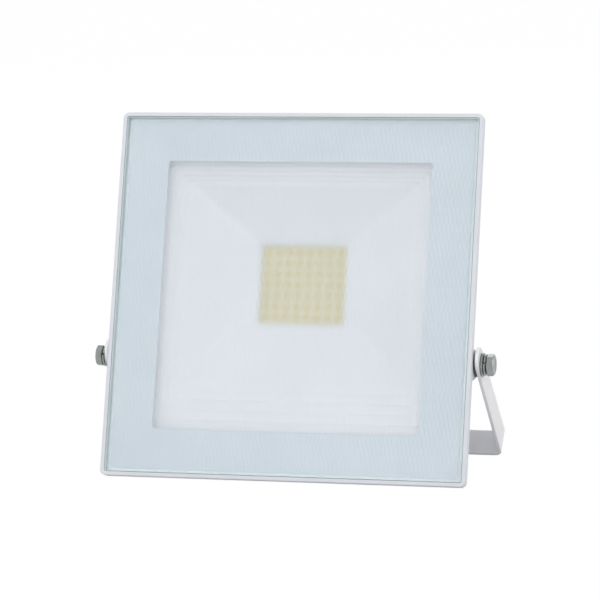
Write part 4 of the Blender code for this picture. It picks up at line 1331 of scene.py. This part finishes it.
@dataclass(frozen=True)
class SideHardware:
    """The M6 hexagon bolt of one side with its rubber, flat and split spring washers."""

    head: Head
    side: Side
    turn: float
    apothem: float = 0.0050
    corner: float = 0.00025
    seat_edge: float = 0.00025
    chamfer_radius: float = 0.00475
    chamfer_slope: float = math.tan(math.radians(30))
    chamfer_edge: float = 0.0001
    shank_chamfer: float = 0.0008
    dish_depth: float = 0.00018
    dish_middle_depth: float = 0.00022
    rubber_radius: float = 0.00625
    rubber_edge: float = 0.00035
    flat_radius: float = 0.0060
    flat_edge: float = 0.0002
    spring_radius: float = 0.0054
    spring_thickness: float = 0.0009
    spring_edge: float = 0.00012
    spring_cut: float = math.radians(12)
    spring_steps: int = 72

    @property
    def label(self) -> str:
        """The word that the names of this side's pieces and CAD nodes end in."""
        return self.side.name.lower()

    def span(self, node: str) -> tuple[float, float]:
        """Where a CAD node starts and ends along the tilt axis, from the middle outwards."""
        ends = sorted(abs(corner.x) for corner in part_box(f"{node}_{self.label}"))
        return ends[0], ends[1]

    def washer(self, node: str, radius: float, edge: float) -> Draft:
        """A flat ring as thick as its CAD node, with round outer edges."""
        section = band(self.head.bolt_radius + GAP, radius, *self.span(node), (0.0, edge))
        return Draft().grid(lathe(section, MANY), self.head.side(self.side), ring=True)

    def spring(self) -> Draft:
        """A split ring: a small square section that climbs evenly from one cut face to the other.

        Returns:
            The ring, as thick overall as its CAD node.
        """
        start, end = self.span("spring_washer")
        inner, edges = self.head.bolt_radius + GAP, (self.spring_edge, self.spring_edge)
        section = band(inner, self.spring_radius, 0.0, self.spring_thickness, edges, 2)
        share = np.linspace(0.0, 1.0, self.spring_steps)[:, None]
        angle = -math.pi / 2 + self.spring_cut / 2 + (2 * math.pi - self.spring_cut) * share
        height = start + (end - start - self.spring_thickness) * share + section[:, 1]
        return Draft().solid(around(section[:, 0], angle, height), self.head.side(self.side))

    def bolt(self) -> Draft:
        """The bolt, in rows from its tip to the middle of its head.

        The head's radius is that of a round-cornered hexagon. Its top edge lies where a cone of 30 degrees,
        starting at the chamfer radius, meets the flats: lower by the slope times how far the radius goes
        past the chamfer's. Inside the chamfer the top is dished.

        Returns:
            The bolt.
        """
        (tip, end), start = self.span("pivot_bolt"), self.span("spring_washer")[1] + GAP
        shank, top, edge = self.head.bolt_radius, self.chamfer_radius, self.seat_edge
        turn, flank = hexagon(self.apothem, self.corner)
        shoulder = end - np.maximum(flank - top, 0.0) * self.chamfer_slope
        rows = (
            (shank * 0.75, tip),
            (shank, tip + self.shank_chamfer),
            (shank, start),
            (self.apothem * 0.9, start),
            (flank - edge, start),
            (flank, start + edge),
            (flank, shoulder - self.chamfer_edge),
            (flank - self.chamfer_edge / 2, shoulder),
            (top, end),
            (top * 0.97, end),
            (top * 0.72, end),
            (top * 0.62, end - self.dish_depth),
            (top * 0.1, end - self.dish_middle_depth),
        )
        radius, height = (np.stack([np.ones_like(turn) * value for value in values]) for values in zip(*rows))
        return Draft().solid(around(radius, turn, height), self.head.side(self.side).turned(self.turn))

    def build(self) -> None:
        """Build the three washers and the bolt."""
        rubber = self.washer("rubber_washer", self.rubber_radius, self.rubber_edge)
        flat = self.washer("flat_washer", self.flat_radius, self.flat_edge)
        pieces = (
            (rubber, "rubber_ring", RUBBER, "black_rubber", "rubber_washer"),
            (flat, "plain_ring", ZINC, "zinc_steel", "flat_washer"),
            (self.spring(), "split_ring", ZINC, "zinc_steel", "spring_washer"),
            (self.bolt(), "hexagon_bolt", ZINC, "zinc_steel", "pivot_bolt"),
        )
        for draft, name, finish, slot, node in pieces:
            seat(draft.piece(f"{name}_{self.label}", finish.material()), slot, f"{node}_{self.label}")


@dataclass(frozen=True)
class Gland:
    """The cable gland in the back: gasket, hexagon body, domed cap nut, sealing ring and locknut."""

    head: Head
    bore_radius: float = 0.0038
    seal_bore_radius: float = 0.0035
    seal_wall: float = 0.0011
    seal_length: float = 0.0060
    seal_edge: float = 0.0004
    apothem: float = 0.0075
    corner: float = 0.0008
    edge: float = 0.0005
    flange: float = 0.0040
    stub: float = 0.0075
    neck: float = 0.0085
    cap_length: float = 0.0125
    cap_grip: float = 0.0070
    cap_end: float = 0.0015
    dome_share: float = 0.30
    gasket: float = 0.0010
    gasket_edge: float = 0.0003
    locknut: float = 0.0035

    def loops(self, rows: Sequence[tuple[float, float, float]]) -> Array:
        """Loops round the gland's axis.

        Args:
            rows: radius, height and how far the loop is a hexagon, from 0, round, to 1.

        Returns:
            The loops.
        """
        turn, flank = hexagon(self.apothem, self.corner)
        radius, height, share = (column[:, None] for column in np.array(rows).T)
        return around(radius * (1 + (flank / self.apothem - 1) * share), turn, height)

    def body(self, start: float, flange_end: float, neck_end: float, seal_start: float) -> Array:
        """Loops of the body: its stub in the wall, the hexagon outside it, and the neck round the seal.

        Args:
            start: height of the hexagon's inner face over the housing.
            flange_end: height of its outer face.
            neck_end: height of the neck's end.
            seal_start: height where the sealing ring starts.

        Returns:
            The loops, from the bore's inner end round the outside and back into the bore.
        """
        thread, apothem, edge = self.head.gland_radius, self.apothem, self.edge
        pocket = self.seal_bore_radius + self.seal_wall + GAP
        rows = (
            (self.bore_radius, -self.stub, 0.0),
            (thread - edge, -self.stub, 0.0),
            (thread, -self.stub + edge, 0.0),
            (thread, start, 0.0),
            (apothem - edge, start, 0.7),
            (apothem, start + edge, 1.0),
            (apothem, flange_end - edge, 1.0),
            (apothem - edge, flange_end, 0.6),
            (thread, flange_end, 0.0),
            (thread, neck_end, 0.0),
            (pocket, neck_end, 0.0),
            (pocket, seal_start - GAP, 0.0),
            (self.bore_radius, seal_start - GAP, 0.0),
        )
        return self.loops(rows)

    def cap(self, start: float, end: float) -> Array:
        """Loops of the cap nut: a hexagon up to the grip's end, and a dome that follows a quarter turn.

        Args:
            start: height of the nut's inner face.
            end: height of its outer end.

        Returns:
            The loops, from the thread round the outside and back through the opening.
        """
        apothem, edge = self.apothem, self.edge
        grip_end, clear = start + self.cap_grip, self.head.gland_radius + GAP
        turn = np.linspace(0.15, math.pi / 2, 10)
        drawn = apothem * (1 - self.dome_share * (1 - np.cos(turn)))
        dome = np.stack((drawn, grip_end + (end - grip_end) * np.sin(turn), turn * 0.0), axis=1)
        rows = (
            (clear, start, 0.0),
            (apothem - edge, start, 0.6),
            (apothem, start + edge, 1.0),
            (apothem, grip_end - edge, 1.0),
            (apothem * 0.995, grip_end, 0.4),
            *dome.tolist(),
            (self.bore_radius + edge, end, 0.0),
            (self.bore_radius, end - edge, 0.0),
            (self.bore_radius, end - self.cap_end, 0.0),
            (clear, end - self.cap_end, 0.0),
        )
        return self.loops(rows)

    def nut(self, start: float) -> Array:
        """Loops of the locknut inside the housing.

        Args:
            start: height of its face against the wall.

        Returns:
            The loops, from that face over the outside to the far face.
        """
        apothem, edge = self.apothem, self.edge
        end, clear = start - self.locknut, self.head.gland_radius + GAP
        rows = (
            (clear, start, 0.0),
            (apothem - edge, start, 0.6),
            (apothem, start - edge, 1.0),
            (apothem, end + edge, 1.0),
            (apothem - edge, end, 0.6),
            (clear, end, 0.0),
        )
        return self.loops(rows)

    def build(self) -> None:
        """Build the five pieces on a frame whose z runs out of the housing's back."""
        head = self.head
        place = head.face.at(0.0, head.gland_height, -head.pan_depth).flipped()
        start = GAP + self.gasket + GAP
        flange_end = start + self.flange
        neck_end = flange_end + self.neck
        seal_start = neck_end - self.seal_length
        cap_start = flange_end + GAP
        cap_end = cap_start + self.cap_length
        seal_end = min(neck_end, cap_end - self.cap_end) - GAP
        bore, edges = self.seal_bore_radius, (self.seal_edge, self.seal_edge)
        seal = band(bore, bore + self.seal_wall, seal_start, seal_end, edges)
        gasket = band(head.gland_radius + GAP, self.apothem, GAP, GAP + self.gasket, (0.0, self.gasket_edge))
        nylon, rubber = (GLAND_NYLON, "gland_nylon"), (RUBBER, "black_rubber")
        pieces = (
            (self.body(start, flange_end, neck_end, seal_start), "gland_hexagon", *nylon, "gland_body"),
            (self.cap(cap_start, cap_end), "gland_domed_nut", *nylon, "gland_cap_nut"),
            (lathe(seal, SOME), "gland_sealing_ring", *rubber, "gland_seal"),
            (lathe(gasket), "gland_flat_gasket", *rubber, "gland_gasket"),
            (self.nut(-head.back_plate - GAP), "gland_inner_nut", *nylon, "gland_locknut"),
        )
        for loops, name, finish, slot, node in pieces:
            seat(Draft().grid(loops, place, ring=True).piece(name, finish.material()), slot, node)


@dataclass(frozen=True)
class Bracket:
    """The U bracket bent from one strip, with round arm ends, bolt holes, a centre hole and two slots."""

    head: Head
    swing: float
    outer_x: float
    sheet: float = 0.0017
    width: float = 0.0144
    bend_radius: float = 0.0020
    bar_clearance: float = 0.0074
    end_width: float = 0.0128
    end_rise: float = 0.0042
    end_steps: int = 24
    bend_steps: int = 9
    edge: float = 0.0004
    bolt_hole_radius: float = 0.0035
    centre_hole_radius: float = 0.0045
    slot_offset: float = 0.045
    slot_length: float = 0.016
    slot_radius: float = 0.00325
    hole_chamfer: float = 0.00025

    @property
    def place(self) -> Place:
        """The bracket frame, swung back from the vertical.

        Returns:
            A frame whose origin is the pivot.
        """
        sin, cos = math.sin(self.swing), math.cos(self.swing)
        axes = np.array(((1.0, 0.0, 0.0), (0.0, cos, sin), (0.0, -sin, cos)))
        return Place(np.array(self.head.pivot), axes)

    @property
    def inner_x(self) -> float:
        """Distance from the middle to an arm's inner face."""
        return self.outer_x - self.sheet

    @property
    def reach(self) -> float:
        """Distance from the pivot to the bar's inner face: that to the face's lower edge, and a clearance."""
        return math.hypot(self.head.pivot_height, self.head.pivot_depth) + self.bar_clearance

    def half_at(self, z: Array) -> Array:
        """Half the strip's width, which grows evenly from the round end's centre to the bar's outside."""
        share = (self.end_rise - z) / (self.end_rise + self.reach + self.sheet)
        return self.end_width / 2 + (self.width - self.end_width) / 2 * share

    def strip(self) -> Array:
        """Rows along the bent strip, each a closed section across it.

        A section runs over the inner face, round the edge, over the outer face and back, with its distance
        in from the strip's outline and its offset from the inner face. At a round end the outline is a
        circle, so a point lies at the circle's radius less its distance in, at that row's angle. In a bend
        the offset adds to the bend's radius. The distance in shrinks with the strip's half width, so the
        middle line stays closed.

        Returns:
            The rows, from one arm's end to the other's.
        """
        half, sheet, edge = self.end_width / 2, self.sheet, self.edge
        corners = ((half, 0.0, 0.0), (0.0, 0.0, edge), (0.0, sheet, edge), (half, sheet, 0.0))
        inset, offset = filleted(corners).T
        sign = np.repeat((1.0, -1.0), (len(inset), len(inset) - 2))
        inset = np.concatenate((inset, inset[-2:0:-1]))
        offset = np.concatenate((offset, offset[-2:0:-1]))
        reach_in = half - inset
        turn = np.linspace(math.pi / 2, 0.0, self.end_steps + 1)[:, None]
        end_x = np.broadcast_to(self.inner_x + offset, (self.end_steps + 1, len(inset)))
        end_y, end_z = sign * reach_in * np.cos(turn), self.end_rise + reach_in * np.sin(turn)
        turn = np.linspace(0.0, math.pi / 2, self.bend_steps + 1)[:, None]
        radius = self.bend_radius + offset
        bend_x = self.inner_x - self.bend_radius + radius * np.cos(turn)
        bend_z = self.bend_radius - self.reach - radius * np.sin(turn)
        bend_y = sign * np.where(reach_in > 0.0, reach_in + (self.half_at(bend_z) - half), 0.0)
        end = np.stack((end_x, end_y, end_z), axis=-1)
        arm = np.concatenate((end, np.stack((bend_x, bend_y, bend_z), axis=-1)))
        return np.concatenate((arm, arm[::-1] * np.array((-1.0, 1.0, 1.0))))

    def cutter(self) -> tuple[Array, Array]:
        """How a cutter through the sheet widens at both faces, to leave a chamfer.

        Returns:
            How much wider it is, and at what height through the sheet.
        """
        flare, chamfer, sheet = self.hole_chamfer + OVER, self.hole_chamfer, self.sheet
        height = np.array((-OVER, chamfer, sheet - chamfer, sheet + OVER))
        return np.array((flare, 0.0, 0.0, flare)), height

    def build(self) -> None:
        """Build the strip and cut its bolt holes, its centre hole and its slots."""
        frame = self.place
        bracket = Draft().solid(self.strip(), frame).piece("bent_strip_bracket", BRACKET_COAT.material())
        wider, height = self.cutter()
        bolt_hole = lathe(np.stack((self.bolt_hole_radius + wider, height), axis=1), MANY)
        for side in Side:
            outwards = np.array((frame.axes[1] * side.value, frame.axes[2], frame.axes[0] * side.value))
            arm = Place(frame.at(side.value * self.inner_x, 0.0, 0.0).origin, outwards)
            carve(bracket, Carve.CUT, Draft().solid(bolt_hole, arm))
        bar = frame.at(0.0, 0.0, -self.reach).flipped()
        centre_hole = lathe(np.stack((self.centre_hole_radius + wider, height), axis=1), MANY)
        carve(bracket, Carve.CUT, Draft().solid(centre_hole, bar))
        half, corner = self.slot_length / 2 + wider, self.slot_radius * 0.999 + wider
        slot = rectangles(half, self.slot_radius + wider, corner, 0.0, height, 12)
        slots = Draft()
        for side in Side:
            slots.solid(slot, bar.at(side.value * self.slot_offset, 0.0, 0.0))
        carve(bracket, Carve.CUT, slots)
        seat(bracket, "white_bracket", "bracket", body=Body.BRACKET)


@dataclass(frozen=True)
class Softbox:
    """A square soft lamp: where it hangs, the length of its sides, its watts and whether gloss shows it."""

    name: str
    place: tuple[float, float, float]
    side: float
    power: float
    mirrored: bool = True


# The front one is kept out of mirror images, because it would veil the glass
SOFTBOXES = (
    Softbox("front_softbox", (-0.15, -1.3, 1.0), 2.1, 21.0, mirrored=False),
    Softbox("side_softbox", (2.2, 0.1, 0.45), 1.5, 17.0),
    Softbox("back_softbox", (-0.45, 1.5, 1.1), 1.4, 4.5),
)


@dataclass(frozen=True)
class Studio:
    """The pale floor, the soft lamps and the camera of the photograph.

    The camera looks at a point of the lamp from an azimuth, elevation and roll, so far away that a sensor 36
    mm wide holds the view through its long lens. The world's light grows from front_level, from the viewer's
    side, to back_level in the directions whose Y is back_turn and more.
    """

    origin: tuple[float, float, float] = (0.0, -0.04468, 0.00144)
    azimuth: float = math.radians(15.27)
    elevation: float = math.radians(9.758)
    roll: float = math.radians(-1.533)
    distance: float = 1.61436
    aim_right: float = 0.010326
    aim_up: float = 0.090689
    lens: float = 193.28
    sensor: float = 36.0
    floor_half: float = 6.0
    floor_colour: str = "#C6C6C6"
    floor_roughness: float = 0.9
    floor_glow: float = 0.93
    floor_white: float = 1.04
    front_level: float = 0.34
    back_level: float = 0.64
    back_turn: float = 0.6

    def stand(self, thing: bpy.types.Object, spot: Array, right: Array, up: Array) -> None:
        """Put a camera or lamp in the scene, looking along its own minus z.

        Args:
            thing: the object.
            spot: where it stands.
            right: its x axis.
            up: its y axis.
        """
        matrix = np.identity(4)
        matrix[:3] = np.stack((right, up, np.cross(right, up), spot), axis=1)
        thing.matrix_world = Matrix(matrix.tolist())
        bpy.context.scene.collection.objects.link(thing)

    def camera(self) -> None:
        """Place the camera: axes from the three angles, and its place back along the view from the aim."""
        sin_a, cos_a = math.sin(self.azimuth), math.cos(self.azimuth)
        sin_e, cos_e = math.sin(self.elevation), math.cos(self.elevation)
        back, level = np.array((sin_a * cos_e, -cos_a * cos_e, sin_e)), np.array((cos_a, sin_a, 0.0))
        upright = np.cross(back, level)
        right = math.cos(self.roll) * level + math.sin(self.roll) * upright
        up = -math.sin(self.roll) * level + math.cos(self.roll) * upright
        spot = np.array(self.origin) + self.aim_right * right + self.aim_up * up + self.distance * back
        data = bpy.data.cameras.new("photo_camera")
        data.lens = self.lens
        data.sensor_width = self.sensor
        data.clip_start, data.clip_end = 0.05, 50.0
        camera = bpy.data.objects.new("photo_camera", data)
        self.stand(camera, spot, right, up)
        bpy.context.scene.camera = camera

    def lamp(self, box: Softbox) -> None:
        """Add a soft lamp that faces the middle of the floodlight.

        Args:
            box: the lamp's sizes.
        """
        data = bpy.data.lights.new(box.name, "AREA")
        data.size, data.energy = box.side, box.power
        lamp = bpy.data.objects.new(box.name, data)
        lamp.visible_camera = False
        lamp.visible_glossy = box.mirrored
        spot = np.array(box.place)
        back = spot - np.array((0.0, 0.0, self.aim_up))
        back /= np.linalg.norm(back)
        right = np.cross((0.0, 0.0, 1.0), back)
        right /= np.linalg.norm(right)
        self.stand(lamp, spot, right, np.cross(back, right))

    def seen(self, tree: bpy.types.NodeTree) -> bpy.types.NodeSocket:
        """Tell the rays that show a background from those that light things.

        Args:
            tree: the nodes.

        Returns:
            1 for rays from the camera, a gloss or a glass, and 0 for the rest.
        """
        rays = add_node(tree, "ShaderNodeLightPath").outputs
        found = rays["Is Camera Ray"]
        for kind in ("Is Glossy Ray", "Is Transmission Ray"):
            most = add_node(tree, "ShaderNodeMath", {"operation": "MAXIMUM"}, {0: found, 1: rays[kind]})
            found = most.outputs[0]
        return found

    def world(self) -> None:
        """Light from all round, weaker from the viewer's side, white where the eye or a gloss meets it."""
        world = bpy.data.worlds.new("studio")
        world.use_nodes = True
        bpy.context.scene.world = world
        tree = world.node_tree
        background = tree.nodes["Background"]
        background.inputs["Color"].default_value = linear("#FFFFFF")
        direction = add_node(tree, "ShaderNodeTexCoord").outputs["Generated"]
        depth = add_node(tree, "ShaderNodeSeparateXYZ", links={"Vector": direction}).outputs["Y"]
        span = {"From Max": self.back_turn, "To Min": self.front_level, "To Max": self.back_level}
        level = add_node(tree, "ShaderNodeMapRange", {"From Min": -1.0, **span}, {"Value": depth})
        links = {"Factor": self.seen(tree), 2: level.outputs["Result"]}
        strength = add_node(tree, "ShaderNodeMix", {3: 1.0}, links)
        tree.links.new(strength.outputs[0], background.inputs["Strength"])

    def floor(self) -> None:
        """Add the floor: pale paint that glows white for the eye and for gloss, with a trace of shadow."""
        material = bpy.data.materials.new("painted_floor")
        material.use_nodes = True
        tree = material.node_tree
        shader = tree.nodes["Principled BSDF"]
        shader.inputs["Roughness"].default_value = self.floor_roughness
        shader.inputs["Base Color"].default_value = linear(self.floor_colour)
        white = {"Color": linear("#FFFFFF"), "Strength": self.floor_white}
        glow = add_node(tree, "ShaderNodeEmission", white).outputs["Emission"]
        part = {"operation": "MULTIPLY", 1: self.floor_glow}
        share = add_node(tree, "ShaderNodeMath", part, {0: self.seen(tree)}).outputs[0]
        mix = add_node(tree, "ShaderNodeMixShader", links={0: share, 1: shader.outputs["BSDF"], 2: glow})
        tree.links.new(mix.outputs["Shader"], tree.nodes["Material Output"].inputs["Surface"])
        mesh = bpy.data.meshes.new("floor")
        half = self.floor_half
        corners = [(-half, -half, 0.0), (half, -half, 0.0), (-half, half, 0.0), (half, half, 0.0)]
        mesh.from_pydata(corners, [], [(0, 1, 3, 2)])
        mesh.materials.append(material)
        floor = bpy.data.objects.new("floor", mesh)
        bpy.context.scene.collection.objects.link(floor)

    def build(self) -> None:
        """Set up the whole studio."""
        self.camera()
        self.world()
        for box in SOFTBOXES:
            self.lamp(box)
        self.floor()
        bpy.context.scene.view_settings.view_transform = "Standard"


def dress_nodes(nodes: dict[str, bpy.types.Object]) -> None:
    """Give the CAD nodes that stay in view their finishes, by the start of their names.

    Args:
        nodes: the CAD nodes by name.
    """
    looks = {
        "driver_ic": BLACK_EPOXY,
        "bridge_rectifier": BLACK_EPOXY,
        "varistor": BLUE_EPOXY,
        "fuse_resistor": GREEN_LACQUER,
        "terminal_block": TERMINAL_NYLON,
        "board_screw": ZINC,
        "reflector_screw": ZINC,
        "earth_screw": ZINC,
    }
    for name, node in nodes.items():
        for start, finish in looks.items():
            if not name.startswith(start):
                continue
            for slot in node.material_slots:
                slot.material = finish.material()


def main() -> None:
    """Build the lamp around its frame, then the studio round it."""
    logging.basicConfig(level=logging.INFO, format="%(name)s: %(message)s")
    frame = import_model()
    head = Head(np.array(frame["joints"][0]["pos_m"]))
    bar_axis = frame["record"]["mounts"][0]["axis"]
    dress_nodes(frame["nodes"])
    for part in (Housing(head), FrontGlass(head), Reflector(head), LedBoard(head)):
        part.build()
    for side, turn in BOLT_TURNS.items():
        SideHardware(head, side, turn).build()
    Gland(head).build()
    Bracket(head, math.atan2(bar_axis[1], -bar_axis[2]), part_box("bracket")[1].x).build()
    Studio().build()


if __name__ == "__main__":
    main()
